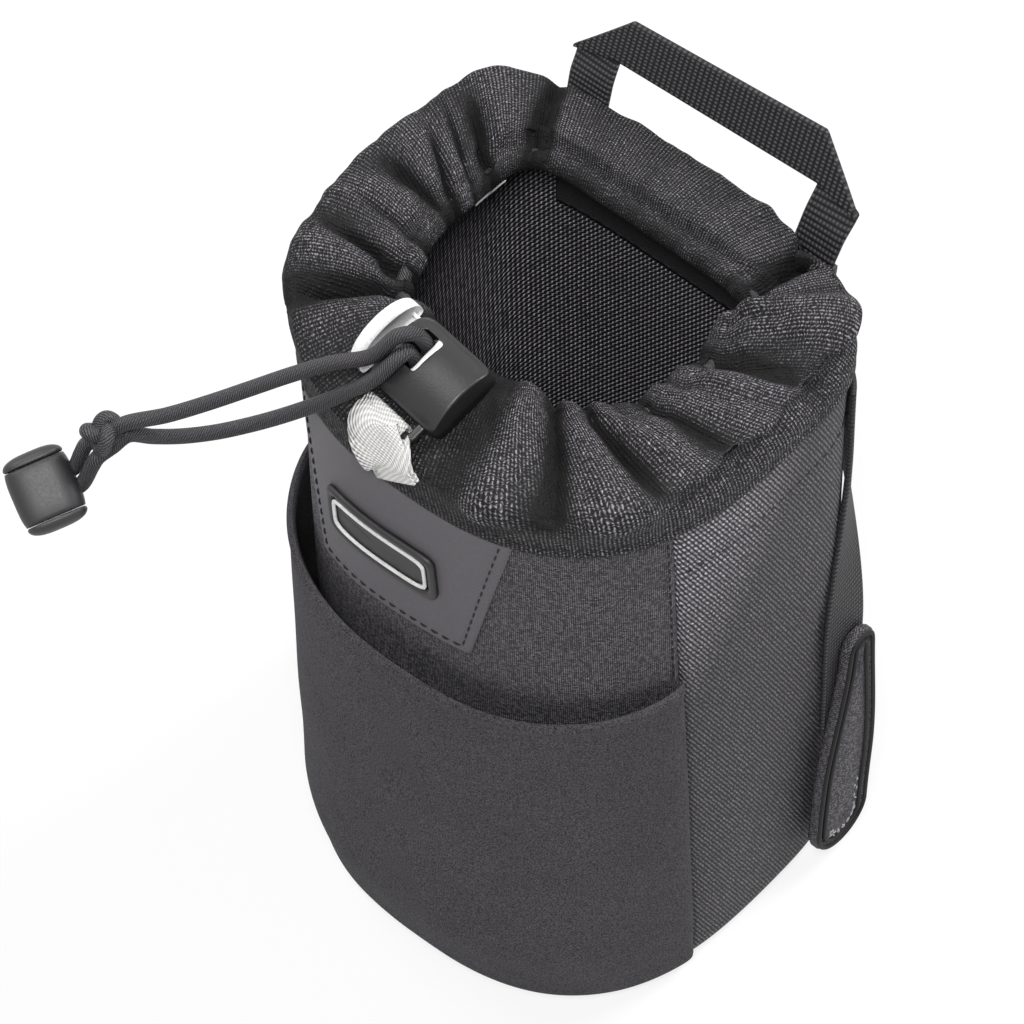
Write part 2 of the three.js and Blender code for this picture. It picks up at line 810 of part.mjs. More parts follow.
function lockButton() {
  const cap = archBlock(
    barrelWidth,
    barrelThickness,
    barrelSide,
    barrelMiddle,
    buttonInner - buttonThickness,
    buttonInner,
  );
  const stemLength = stemEnd - buttonInner + cutOverrun;
  const stem = block(stemWidth, stemThickness, stemLength, 0, stemMiddleY, stemEnd - stemLength / 2);
  const windowLength = 2 * gripBefore + buttonTravel;
  const window = block(
    slotHeight - 2 * gripClearance,
    stemThickness + 2 * cutOverrun,
    windowLength,
    0,
    stemMiddleY,
    gripBefore - windowLength / 2,
  );
  return fromSolid(toSolid(cap).add(toSolid(stem)).subtract(toSolid(window)));
}

addPart('lock_button', lockButton(), plastic(white, 0.35), lock);

// A plain sleeve stands for the hidden coil between the stem and the bore's end
const springBottom = stemEnd + gripClearance;
const springTop = boreEnd - gripClearance;
const springProfile = [
  new THREE.Vector2(springDiameter / 2 - springWall, springBottom),
  new THREE.Vector2(springDiameter / 2, springBottom),
  new THREE.Vector2(springDiameter / 2, springTop),
  new THREE.Vector2(springDiameter / 2 - springWall, springTop),
  new THREE.Vector2(springDiameter / 2 - springWall, springBottom),
];
const spring = new THREE.LatheGeometry(springProfile, 12).rotateX(Math.PI / 2);
spring.translate(0, stemMiddleY, 0);
addPart('lock_spring', spring, plastic(white, 0.3), lock);

// Drawcord: it runs from inside the lock's slot, down through the eyelet, around the channel and
// back to the slot. The eyelet is cut in the collar along the cord's own path.
function lockPlace(x, y, z) {
  return lock.localToWorld(new THREE.Vector3(x, y, z));
}

function channelPoint(angle) {
  const frameAt = collarFrame(angle);
  return collarPlace(frameAt, frameAt.width - channelRadius, channelHeight);
}

const strandX = cordSpacing / 2;
const slotMiddleY = barrelThickness / 2;
const strandGap = cordClearance / 2;
const entryAngle = 24;
const channelTurns = 44;
const slotAngle = lockAngle;
const cordAround = steps(slotAngle + radians(entryAngle), slotAngle + radians(360 - entryAngle), channelTurns);

// The cord's way down from the slot on one side of it, upper strand or lower
function cordDown(x) {
  return [
    lockPlace(x, slotMiddleY - strandGap, 0),
    lockPlace(x, slotMiddleY / 2, 0),
    lockPlace(x, 0, 0),
    lockPlace(x, -slotMiddleY / 2, 0),
  ];
}

const drawcordPath = new THREE.CatmullRomCurve3(
  [...cordDown(-strandX), ...cordAround.map(channelPoint), ...cordDown(strandX).reverse()],
  false,
  'centripetal',
);
addPart('drawcord', tube(drawcordPath, cordDiameter, 80), fabric(black));

// The first and last parts of the cord's path, which the eyelet clears
const eyeletShare = 0.1;
function eyeletCut(from, to) {
  const path = steps(from, to, 12).map((share) => drawcordPath.getPointAt(share));
  const width = cordDiameter + 2 * eyeletClearance;
  return toSolid(tube(new THREE.CatmullRomCurve3(path), width, 14));
}

const eyeletStart = 0.008;
const collar = fromSolid(
  toSolid(collarShell)
    .subtract(eyeletCut(eyeletStart, eyeletShare))
    .subtract(eyeletCut(1 - eyeletShare, 1 - eyeletStart)),
);
addPart('collar', collar, fabric(black, 0.7));

// Tails: both cords leave the lock's face, droop a little and meet at the knot. The offsets are
// from the lock's face.
const upperTailPlaces = [
  [-7, -8.3, -2.1], [-13.5, -16, -2.8], [-20.3, -24.1, -5.4], [-27, -32, -8.9],
  [-33.9, -40.2, -12.4], [-40.7, -48.2, -15.2],
];
const lowerTailPlaces = [
  [-3.2, -11.4, -4.9], [-8.9, -15.9, -11.1], [-15, -21.4, -16], [-21.3, -27.1, -20.3],
  [-27.5, -32.6, -23.8], [-32.9, -39, -24.9], [-38.4, -45.5, -24.7], [-43, -51, -23.2],
];
const upperTailBend = [[1.8, 3.6, -0.3], [-1.5, 5.6, -2.2]];
const lowerTailBend = [[-2.9, 1.4, 0.3], [-5.6, 2.2, 0.3]];
const upperTailLift = 25;
const lowerTailLift = -19;

function fromFace(place) {
  return new THREE.Vector3(...place).add(lockFace);
}

const knotMiddle = fromFace(knotFromLock);
const knotReach = knotDiameter / 2 + 2 * cordClearance;

// A unit vector from a heading seen from above and a slope, in degrees
function direction(heading, slope) {
  const level = Math.cos(radians(slope));
  const turn = radians(heading);
  return new THREE.Vector3(level * Math.cos(turn), level * Math.sin(turn), Math.sin(radians(slope)));
}

const tailHeading = THREE.MathUtils.radToDeg(Math.atan2(-knotFromLock[1], -knotFromLock[0]));
function tail(x, bend, places, lift) {
  const end = knotMiddle.clone().addScaledVector(direction(tailHeading, lift), knotReach);
  const path = new THREE.CatmullRomCurve3(
    [
      lockPlace(x, slotMiddleY + strandGap, 0),
      lockPlace(x, barrelThickness, 0),
      ...bend.map(([along, rise, z]) => lockPlace(along, barrelThickness + rise, z)),
      ...places.map(fromFace),
      end,
    ],
    false,
    'centripetal',
  );
  return tube(path, cordDiameter, 34);
}

addPart('cord_tail_upper', tail(strandX, upperTailBend, upperTailPlaces, upperTailLift), fabric(black));
addPart('cord_tail_lower', tail(-strandX, lowerTailBend, lowerTailPlaces, lowerTailLift), fabric(black));

const knotBall = new THREE.SphereGeometry(knotDiameter / 2, 18, 12);
knotBall.translate(knotMiddle.x, knotMiddle.y, knotMiddle.z);
addPart('cord_knot', knotBall, fabric(black));

// Cord end: its frame's X runs away from the knot and its Z across the two cords
const toggle = new THREE.Group();
const toggleAlong = direction(toggleHeading, togglePitch);
const toggleTop = direction(toggleHeading, togglePitch + 90);
const toggleSide = new THREE.Vector3().crossVectors(toggleAlong, toggleTop);
const toggleAcross = toggleTop
  .clone()
  .multiplyScalar(Math.cos(radians(toggleRoll)))
  .addScaledVector(toggleSide, Math.sin(radians(toggleRoll)));
const toggleThrough = new THREE.Vector3().crossVectors(toggleAcross, toggleAlong);
toggle.quaternion.setFromRotationMatrix(
  new THREE.Matrix4().makeBasis(toggleAlong, toggleThrough, toggleAcross),
);
toggle.position.copy(knotMiddle).add(new THREE.Vector3(...toggleFromKnot));
toggle.updateMatrixWorld();
pouch.add(toggle);

function toggleLoop(scale, z) {
  const width = toggleLength * scale;
  const height = toggleHeight * scale;
  const pairs = roundRectangle(width, height, toggleCornerRadius * scale, 4, 2);
  return pairs.map(([x, y]) => new THREE.Vector3(x, y, z));
}

const bandHalf = toggleBand / 2;
const bandShares = [[-1, 0.95], [-0.6, 0.99], [0, 1], [0.6, 0.99], [1, 0.95]];
const band = loft(bandShares.map(([share, scale]) => toggleLoop(scale, bandHalf * share)));
const boreWidth = cordDiameter + 2 * cordClearance;
const toggleBore = block(
  2 * toggleBoreDepth,
  boreWidth,
  boreWidth + cordSpacing,
  -toggleLength / 2,
  0,
  0,
);
const toggleBody = toSolid(band).subtract(toSolid(toggleBore));
addPart('toggle_body', fromSolid(toggleBody), plastic(black, 0.35), toggle);

const capShares = [[0, 0.95], [0.45, 0.88], [0.8, 0.72], [1, 0.45]];
for (const [name, side] of [['left', -1], ['right', 1]]) {
  const start = bandHalf + seamGap;
  const loops = capShares.map(([share, scale]) => toggleLoop(scale, side * (start + toggleCapDepth * share)));
  addPart(`toggle_cap_${name}`, loft(loops), plastic(black, 0.35), toggle);
}

// Stubs: from the knot into the cord end, side by side
const stubTurn = new THREE.Vector3(...toggleFromKnot)
  .addScaledVector(toggleAlong, -toggleLength / 2)
  .normalize();
const stubSpread = toggleAcross
  .clone()
  .addScaledVector(stubTurn, -toggleAcross.dot(stubTurn))
  .normalize();
const stubReachShares = [0, 0.35];
for (const [name, side] of [['upper', 1], ['lower', -1]]) {
  const start = knotMiddle.clone().addScaledVector(stubSpread, side * strandX);
  const mouth = toggle.localToWorld(new THREE.Vector3(-toggleLength / 2, 0, side * strandX));
  const points = stubReachShares.map((share) => {
    const from = start.clone().addScaledVector(stubTurn, knotReach);
    return from.lerp(mouth, share);
  });
  points.push(
    toggle.localToWorld(new THREE.Vector3(-toggleLength / 2 - cordClearance, 0, side * strandX)),
    toggle.localToWorld(new THREE.Vector3(-toggleLength / 2 + toggleBoreDepth / 2, 0, side * strandX)),
    toggle.localToWorld(
      new THREE.Vector3(-toggleLength / 2 + toggleBoreDepth - cordClearance, 0, side * strandX),
    ),
  );
  const path = new THREE.CatmullRomCurve3(points, false, 'centripetal');
  addPart(`cord_stub_${name}`, tube(path, cordDiameter, 12), fabric(black));
}

// Tether: a doubled strip from the hem around the bar of the lock
const collarOut = seamGap + fabricThickness;
const barMiddleX = (tetherLoopInner + tetherLoopOuter) / 2;
const tetherHalf = tetherThickness / 2;
const barReach = tetherBarWidth / 2 + tetherClearance + tetherHalf;
const layerOut = [
  collarOut + tetherClearance + tetherHalf,
  collarOut + tetherClearance + tetherThickness + seamGap + tetherHalf,
];
const barCentreY = tetherBarLift + tetherBarThickness / 2;
const barTopY = barCentreY + tetherBarThickness / 2 + tetherClearance + tetherHalf;
const barLowY = 2 * barCentreY - barTopY;
const cornerX = barMiddleX + mix(tetherBarWidth / 2, barReach, Math.SQRT1_2);
const cornerRise = mix(tetherBarThickness / 2, barTopY - barCentreY, Math.SQRT1_2);
const tetherRises = [1, 5, 8];
const shoulderShift = 6.6;
const shoulderLift = 1;

function tetherFoot(rise, out) {
  const drift = smooth(rise, 0, collarRise) * (lockFaceX - tetherFootX) / 2;
  return frontPoint(tetherFootX + drift, hemBottom + rise, out);
}

const tetherPath = new THREE.CatmullRomCurve3(
  [
    ...tetherRises.map((rise) => tetherFoot(rise, layerOut[1])),
    lockPlace(barMiddleX - shoulderShift, barTopY, tetherMiddleZ),
    lockPlace(barMiddleX, barTopY, tetherMiddleZ),
    lockPlace(cornerX, barCentreY + cornerRise, tetherMiddleZ),
    lockPlace(barMiddleX + barReach, barCentreY, tetherMiddleZ),
    lockPlace(cornerX, barCentreY - cornerRise, tetherMiddleZ),
    lockPlace(barMiddleX, barLowY, tetherMiddleZ),
    lockPlace(barMiddleX - shoulderShift, barLowY + shoulderLift, tetherMiddleZ),
    ...tetherRises.map((rise) => tetherFoot(rise, layerOut[0])).reverse(),
  ],
  false,
  'centripetal',
);

function tetherPoint(share, side, thickness) {
  const point = tetherPath.getPoint(share);
  const tangent = tetherPath.getTangent(share);
  const turn = smooth(Math.min(share, 1 - share), 0.1, 0.35);
  const along = new THREE.Vector3(1, 0, 0).lerp(lockAlong, turn);
  const width = along.clone().addScaledVector(tangent, -along.dot(tangent)).normalize();
  const normal = new THREE.Vector3().crossVectors(tangent, width);
  return point.addScaledVector(width, side * (tetherWidth / 2)).addScaledVector(normal, thickness);
}

const tether = sheet(
  steps(0, 1, 44),
  [-1, 0, 1],
  (share, side) => tetherPoint(share, side, tetherHalf),
  (share, side) => tetherPoint(share, side, -tetherHalf),
);
addPart('lock_tether', tether, fabric(white));

// Strip on the lining below the back roll, and the label under the collar's edge
const stripTop = wallTop - loopStripDrop;
const stripAngle = Math.atan2(rimBackDepth, loopStripWidth / 2);
const strip = sheet(
  steps(stripAngle, Math.PI - stripAngle, 14),
  steps(stripTop - loopStripHeight, stripTop, 1),
  (angle, height) => wallPoint(angle, height, -(liningInner + seamGap)),
  (angle, height) => wallPoint(angle, height, -(liningInner + seamGap + loopStripThickness)),
);
addPart('inner_loop_strip', strip, fabric(black));

const labelAngle = 155;
const labelTop = channelHeight - channelRadius - seamGap;
function labelPoint(side, level, height) {
  const frameAt = collarFrame(radians(labelAngle));
  const along = new THREE.Vector3(-frameAt.inward.y, frameAt.inward.x, 0);
  const across = frameAt.width + labelShow - labelDepth * (1 - level);
  return collarPlace(frameAt, across, height).addScaledVector(along, (side * labelWidth) / 2);
}

const label = sheet(
  steps(-1, 1, 2),
  steps(0, 1, 2),
  (side, level) => labelPoint(side, level, labelTop),
  (side, level) => labelPoint(side, level, labelTop - labelThickness),
);
addPart('care_label', label, fabric(white));

// Carry handle: a flat webbing loop with folded corners, in a frame whose X is the hinge axis
const webbingHalf = webbingThickness / 2;
const handleAxisY = rimBackDepth + collarOut + seamGap + webbingHalf + seamGap / 2;
const handle = new THREE.Group();
handle.position.set(0, handleAxisY, rimHeight + handleAxisRise);
handle.rotation.x = -radians(handleLeanAngle);
pouch.add(handle);

const legOuter = handleSpan / 2;
const legInner = legOuter - handleWebbing;
const legTopOuter = legOuter + handleSplay;
const legTopInner = legTopOuter - handleWebbing;
const handleTop = handleLegHeight + handleWebbing;

function flatPlate(pairs, from, to) {
  const shape = new THREE.Shape(pairs.map(([x, z]) => new THREE.Vector2(x, z)));
  const geometry = new THREE.ExtrudeGeometry(shape, { depth: to - from, bevelEnabled: false });
  return geometry.translate(0, 0, from).rotateX(Math.PI / 2);
}

const handlePlate = flatPlate(
  [
    [legOuter, 0], [legTopOuter, handleLegHeight], [legTopInner, handleTop],
    [-legTopInner, handleTop], [-legTopOuter, handleLegHeight], [-legOuter, 0],
    [-legInner, 0], [-legTopInner, handleLegHeight],
    [legTopInner, handleLegHeight], [legInner, 0],
  ],
  -webbingHalf,
  webbingHalf,
);
let handleSolid = toSolid(handlePlate);
for (const side of [-1, 1]) {
  const fold = flatPlate(
    [
      [side * legTopOuter, handleLegHeight],
      [side * legTopInner, handleTop],
      [side * legTopInner, handleLegHeight],
    ],
    0,
    webbingHalf + webbingThickness,
  );
  const foot = new THREE.CylinderGeometry(webbingHalf, webbingHalf, handleWebbing, 12);
  foot.rotateZ(Math.PI / 2);
  foot.translate((side * (legOuter + legInner)) / 2, 0, 0);
  handleSolid = handleSolid.add(toSolid(fold)).add(toSolid(foot));
}
addPart('carry_handle', fromSolid(handleSolid), fabric(black), handle);

// Each anchor follows the hem below and turns flat under the hinge above
const anchorTop = rimHeight + handleAxisRise - webbingHalf - seamGap;
for (const [name, side] of [['left', -1], ['right', 1]]) {
  const anchorPoint = (x, level, out) => {
    const height = mix(anchorTop - handleAnchorLength, anchorTop, level);
    const angle = Math.atan2(rimBackDepth * (1 - Math.abs(x / (rimWidth / 2)) ** backPower) ** (1 / backPower), x);
    const low = wallPoint(angle, height, collarOut + seamGap + out);
    const high = new THREE.Vector3(x, handleAxisY - webbingHalf + out, height);
    return low.lerp(high, smooth(level, 0.2, 1));
  };
  const anchor = sheet(
    steps(side * legInner, side * legOuter, 5),
    steps(0, 1, 5),
    (x, level) => anchorPoint(x, level, webbingThickness),
    (x, level) => anchorPoint(x, level, 0),
  );
  addPart(`handle_anchor_${name}`, anchor, fabric(black));
}

// The angle reached after going a distance along the wall from an angle
function angleAlong(angle, distance, height) {
  const pieces = 8;
  const small = 0.001;
  let reached = angle;
  for (let i = 0; i < pieces; i += 1) {
    const span = wallPoint(reached + small, height, 0).distanceTo(wallPoint(reached, height, 0));
    reached += ((distance / pieces) * small) / span;
  }
  return reached;
}

// Belt straps hang outside the rear corners. Each one starts on the wall and flattens under its
// padded end. The right one is described, and the left one mirrors it.
const strapTop = rimHeight - strapDrop;
const tabFaceX = baseWidth / 2 + tabStandoff;
const strapInnerX = tabFaceX - seamGap - strapThickness;
const strapMiddleY = tabMiddleY - tabSlant / 2;
const strapLateral = steps(-strapWidth / 2, strapWidth / 2, 6);

function strapPoint(lateral, height, out) {
  const angle = angleAlong(radians(strapAngle), lateral, height);
  const hang = seamGap + strapHang * Math.max(strapTop - height, 0);
  const around = wallPoint(angle, height, hang + out);
  const flat = new THREE.Vector3(strapInnerX + out, strapMiddleY + lateral, height);
  return around.lerp(flat, 1 - smooth(height, tabTop, tabTop + strapFlatten));
}

// Outline of the tab: a tongue with round ends, its middle slanting forward on the way down
const tabRowShares = [0.3, 0.55, 0.8];
function tabOutline(margin, top, bottom) {
  const pairs = [];
  const endSteps = 7;
  const half = (height) => mix(tabWidth, tabTopWidth, smooth(height, tabTop - tabTaper, tabTop)) / 2 - margin;
  const middle = (height) => tabMiddleY - tabSlant * (1 - smooth(height, tabBottom, tabTop));
  for (const [end, start, direct] of [[bottom, 180, 1], [top, 0, -1]]) {
    const radius = half(end);
    const centre = end + direct * radius;
    for (let i = 0; i <= endSteps; i += 1) {
      const turn = radians(start + (180 * i) / endSteps);
      pairs.push([middle(centre) + radius * Math.cos(turn), centre + radius * Math.sin(turn)]);
    }
    if (direct > 0) {
      for (const share of tabRowShares) {
        const height = mix(centre, top - half(top), share);
        pairs.push([middle(height) + half(height), height]);
      }
    } else {
      for (const share of [...tabRowShares].reverse()) {
        const height = mix(bottom + half(bottom), centre, share);
        pairs.push([middle(height) - half(height), height]);
      }
    }
  }
  return pairs;
}

function uprightPlate(pairs, fromX, toX) {
  const shape = new THREE.Shape(pairs.map(([y, z]) => new THREE.Vector2(y, z)));
  const geometry = new THREE.ExtrudeGeometry(shape, { depth: toX - fromX, bevelEnabled: false });
  return geometry.rotateY(Math.PI / 2).rotateX(Math.PI / 2).translate(fromX, 0, 0);
}

function mirrored(geometry) {
  const copy = geometry.index ? geometry.toNonIndexed() : geometry.clone();
  copy.scale(-1, 1, 1);
  const position = copy.attributes.position;
  const points = [];
  const triangles = [];
  for (let i = 0; i < position.count; i += 1) {
    points.push(new THREE.Vector3().fromBufferAttribute(position, i));
    if (i % 3 === 2) triangles.push([i - 2, i - 1, i]);
  }
  return closedGeometry(points, triangles);
}

function bothSides(name, geometry, material) {
  addPart(`${name}_right`, geometry, material);
  addPart(`${name}_left`, mirrored(geometry), material);
}

const strapAnchor = sheet(
  strapLateral,
  steps(strapTop + seamGap, strapTop + strapAnchorLength, 2),
  (lateral, height) => strapPoint(lateral, height, strapThickness),
  (lateral, height) => strapPoint(lateral, height, 0),
);
bothSides('strap_anchor', strapAnchor, fabric(black));

const beltStrap = sheet(
  strapLateral,
  steps(strapEndHeight, strapTop, 12),
  (lateral, height) => strapPoint(lateral, height, strapThickness),
  (lateral, height) => strapPoint(lateral, height, 0),
);
bothSides('belt_strap', beltStrap, fabric(black));

const tab = uprightPlate(tabOutline(0, tabTop, tabBottom), tabFaceX, tabFaceX + tabThickness);
bothSides('belt_tab', tab, fabric(blackGrey));

const hookOutline = tabOutline(hookMargin, strapEndHeight - seamGap, tabBottom + hookMargin);
const hook = uprightPlate(hookOutline, tabFaceX - seamGap - hookThickness, tabFaceX - seamGap);
bothSides('hook_patch', hook, fabric(black));

const loopPatch = sheet(
  steps(loopPatchCentreX - loopPatchWidth / 2, loopPatchCentreX + loopPatchWidth / 2, 4),
  steps(loopPatchBottom, loopPatchBottom + loopPatchHeight, 2),
  (x, height) => backPoint(x, height, seamGap + loopPatchThickness),
  (x, height) => backPoint(x, height, seamGap),
);
bothSides('loop_patch', loopPatch, fabric(black));

// The back wall above a place on the X axis
function backPoint(x, height, out) {
  const { halfWidth, depth, power } = sectionSizes(false, height);
  const y = depth * (1 - Math.abs(x / halfWidth) ** power) ** (1 / power);
  const frameAt = surfaceFrame(x, y, height);
  return frameAt.point.addScaledVector(frameAt.normal, out);
}

export default pouch;
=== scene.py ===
import math
import bpy
import numpy as np
from mathutils import Matrix, Vector


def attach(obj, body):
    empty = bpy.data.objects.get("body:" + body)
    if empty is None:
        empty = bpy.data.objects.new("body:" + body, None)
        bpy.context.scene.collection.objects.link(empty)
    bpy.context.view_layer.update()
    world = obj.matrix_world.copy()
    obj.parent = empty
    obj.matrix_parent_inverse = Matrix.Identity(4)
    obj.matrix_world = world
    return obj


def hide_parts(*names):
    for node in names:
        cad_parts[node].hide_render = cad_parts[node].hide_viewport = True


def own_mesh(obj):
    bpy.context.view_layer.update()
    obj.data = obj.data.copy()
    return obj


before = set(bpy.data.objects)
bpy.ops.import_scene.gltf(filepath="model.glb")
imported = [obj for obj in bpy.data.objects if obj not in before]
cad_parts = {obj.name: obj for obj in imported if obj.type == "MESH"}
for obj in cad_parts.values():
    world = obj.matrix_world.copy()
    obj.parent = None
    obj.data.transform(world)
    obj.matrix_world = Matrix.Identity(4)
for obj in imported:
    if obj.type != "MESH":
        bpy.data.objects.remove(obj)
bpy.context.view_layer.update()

# Camera at the photograph's viewing angle
VIEW_HEADING = 42.1
VIEW_SLOPE = 54.33
VIEW_ROLL = -1.415
VIEW_TARGET = (-0.02769, 0.0, 0.10139)
VIEW_DISTANCE = 1.752
LENS_LENGTH = 228.5

# Body section and height. Each half of the section is a superellipse.
RIM_HEIGHT = 0.212
WALL_TOP = 0.218
RIM_WIDTH = 0.130
BASE_WIDTH = 0.127
RIM_FRONT = 0.0702
BASE_FRONT = 0.072
RIM_BACK = 0.0437
BASE_BACK = 0.0443
FRONT_POWER = 2.59
BACK_POWER = 4.05
BASE_CORNER = 0.008
SEAM_RIM_ANGLE = -31.5
SEAM_BASE_ANGLE = -25.4
BACK_SEAM_ANGLE = 37
CLEARANCE = 0.0003
PANEL_LIFT = 0.0008
PADDING = 0.0065
WALL_UNEVEN = 0.00025
LINING_OUTER = 0.0068
LINING_INNER = 0.0077

# Base fabric and lining floor: height and inset, and share of the width and height
BASE_STEPS = ((0.0, 0.0075), (0.0, 0.0066), (0.0003, 0.0061),
              (0.0008, 0.006), (0.0013, 0.0061), (0.0016, 0.0066))
FLOOR_STEPS = ((0.02, 0.0082), (0.5, 0.0082), (0.98, 0.0081), (1.0, 0.0078),
               (1.0, 0.0074), (0.98, 0.0072), (0.5, 0.0072), (0.02, 0.0072))
FLOOR_LEVEL = 0.0076
LINING_FOOT = 0.0084

# Velvet strip and label inside the mouth
VELVET_HALF, VELVET_BOTTOM, VELVET_TOP, VELVET_THICKNESS = 0.031, 0.195, 0.213, 0.001
VELVET_STITCH_HEIGHT = 0.1962
LABEL_ANGLES, LABEL_LENGTH, LABEL_THICKNESS = (148, 162), 0.008, 0.0006

# Stretch pocket
POCKET_THICKNESS = 0.0018
POCKET_BULGE = 0.006
POCKET_MOUTH_GAP = 0.0059
POCKET_MOUTH_HEIGHT = 0.145
POCKET_MOUTH_SAG = 0.003
POCKET_LIFT = 0.0012
POCKET_FILL_HEIGHT = 0.034
POCKET_ROLLS = ((0.0007, 0.0022, 0.0016), (-0.0005, 0.0062, 0.0018))    # height, place and half width

# Name patch and badge
PATCH_THICKNESS = 0.0009
PATCH_CENTRE = -0.0065
PATCH_TOP_WIDTH = 0.077
PATCH_BOTTOM_WIDTH = 0.053
PATCH_BOTTOM = 0.154
PATCH_SKEW = 0.0025
PATCH_ROUNDING = 0.0008
PATCH_STITCH, PATCH_STITCH_WIDTH = 0.003, 0.06
BADGE_WIDTH = 0.038
BADGE_HEIGHT = 0.017
BADGE_THICKNESS = 0.0016
BADGE_BORDER = 0.0024
BADGE_CENTRE = (-0.008, 0.1815)
BADGE_TILT = 4
RIM_LINE_WIDTH = 0.001
RIM_LINE_THICKNESS = 0.0007

# Gathered collar
FABRIC_THICKNESS = 0.0012
HEM_BOTTOM = 0.211
COLLAR_TOP = 0.231
COLLAR_BULGE = 0.0036
MOUTH_CENTRE = (-0.003, -0.009)
MOUTH_WIDTH = 0.074
MOUTH_FRONT = 0.027
MOUTH_BACK = 0.0322
MOUTH_FRONT_POWER = 2.2
MOUTH_BACK_POWER = 8.0
CHANNEL_RADIUS = 0.0037
CHANNEL_HEIGHT = 0.2235
COLLAR_OUT = CLEARANCE + FABRIC_THICKNESS

# Drawcord, knot and cord end, placed from the middle of the lock's face
CORD_DIAMETER = 0.004
STRAND_OFFSET = 0.0023
KNOT_DIAMETER = 0.012
KNOT_FROM_LOCK = (-0.051, -0.0605, -0.019)
TOGGLE_FROM_KNOT = (-0.0078, -0.0144, -0.016)
TOGGLE_LENGTH = 0.017
TOGGLE_BAND = 0.0144
TOGGLE_HEIGHT = 0.014
TOGGLE_CAP_DEPTH = 0.003
TOGGLE_CAP_STEP = 0.0004
TOGGLE_POWER = 3.4
TOGGLE_HEADING = -120
TOGGLE_PITCH = -12.5
TOGGLE_ROLL = 56

# Cord lock
LOCK_FACE = (-0.0122, -0.0515, 0.241)
LOCK_TILT = 22
LOCK_TURN = -8
BARREL_WIDTH = 0.022
BARREL_THICKNESS = 0.0096
BARREL_SIDE = 0.0026
BARREL_START = -0.006
BARREL_END = 0.019
BARREL_MIDDLE = -0.0025
SLOT_HALF = (0.0052, 0.00355)
SLOT_MIDDLE = 0.00125
BUTTON_START = -0.0141
BUTTON_END = -0.0096
STEM_HALF = 0.0067
STEM_END = 0.0045
STEM_BOTTOM = 0.0025
STEM_TOP = 0.0071
LOOP_INNER = -0.0167
LOOP_OUTER = -0.0191
LOOP_BOTTOM = 0.0018
LOOP_TOP = 0.004
TETHER_MIDDLE = 0.00475
TETHER_WIDTH = 0.0155
TETHER_THICKNESS = 0.001
TETHER_FOOT = 0.0036

# Carry handle
WEBBING_THICKNESS = 0.0017
HANDLE_WEBBING = 0.0145
HANDLE_HALF = 0.045
HANDLE_SPLAY = 0.0015
HANDLE_LEG = 0.017
HANDLE_CHAMFER = 0.0146
HANDLE_LEG_DRAW = 0.0015
HANDLE_DROP = (0.003, 0.002)
HANDLE_SHIFT, HANDLE_WIDEN, HANDLE_TILT = -0.0022, 1.022, 2.3
HANDLE_LEAN = 22
HANDLE_AXIS = (0.0465, 0.223)
ANCHOR_BOTTOM = 0.2109
ANCHOR_TOP = 0.2219

# Belt straps
STRAP_WIDTH = 0.016
STRAP_ANGLE = 33
STRAP_TOP = 0.187
STRAP_ANCHOR_TOP = 0.200
STRAP_HANG = 0.03
STRAP_FLATTEN = 0.075
STRAP_END = 0.062
STRAP_INNER_X = 0.064
STRAP_MIDDLE = 0.0276
TAB_FACE = 0.066
TAB_THICKNESS = 0.0035
TAB_MIDDLE = 0.0304
TAB_WIDTH = 0.022
TAB_TOP_WIDTH = 0.011
TAB_TAPER = 0.062
TAB_TOP = 0.101
TAB_BOTTOM = 0.007
TAB_SLANT = 0.0056
TAB_SPINE_ENDS = (0.012, 0.009)
TAB_SKIN = (    # inset from the outline and share of the thickness, from the edge outward
    (0, 0.3), (0, 0.7), (0.0005, 0.94), (0.0012, 1), (0.0019, 0.94), (0.0026, 0.72), (0.0034, 0.86),
    (0.006, 0.97), (0.009, 1), (0.0122, 1),
)
PIPING_RADIUS = 0.0007
HOOK_THICKNESS = 0.0012
HOOK_MARGIN = 0.003
LOOP_PATCH = ((0.016, 0.040), (0.016, 0.094))
LOOP_PATCH_THICKNESS = 0.0012

# Creases of the collar: angle at the drawcord and at the hem, in degrees about the body's axis, depth,
# half width at the drawcord and at the hem, and how far up from the hem it starts. A depth below
# nought is a ridge.
CREASES = (
    (-50, -60, 0.0070, 0.0036, 0.0066, 0.14),
    (-60, -76, -0.0024, 0.0042, 0.0062, 0.12),
    (-38, -34, 0.0062, 0.0028, 0.0046, 0.26),
    (-28, -25, 0.0022, 0.0018, 0.0028, 0.50),
    (-18, -15, 0.0050, 0.0034, 0.0070, 0.26),
    (-4, -8, 0.0022, 0.0026, 0.0040, 0.42),
    (14, 3, 0.0054, 0.0046, 0.0080, 0.24),
    (30, 27, -0.0020, 0.0060, 0.0080, 0.20),
    (41, 51, 0.0080, 0.0036, 0.0050, 0.16),
    (140, 137, 0.0066, 0.0034, 0.0050, 0.16),
    (154, 161, 0.0062, 0.0030, 0.0044, 0.34),
    (163, 166, 0.0034, 0.0018, 0.0026, 0.28),
    (173, 169, 0.0050, 0.0024, 0.0034, 0.36),
    (178, 191, 0.0060, 0.0030, 0.0046, 0.34),
    (196, 199, 0.0024, 0.0024, 0.0034, 0.35),
    (209, 205, 0.0066, 0.0030, 0.0042, 0.30),
    (216, 230, 0.0115, 0.0044, 0.0062, 0.20),
    (240, 239, 0.0040, 0.0030, 0.0040, 0.20),
)
CREASE_FADE = 0.3                               # share of the way over which a crease deepens
SHOULDER, SLIT, SLIT_WIDTH = 0.18, 0.5, 0.42    # shares of a crease's depth and half width
LIP_START, LIP_END = 0.76, 0.97                 # where the folds turn over the mouth's edge
LIP_FOLD = 0.55
LIP_DOWN, LIP_BACK = 0.8, 0.55
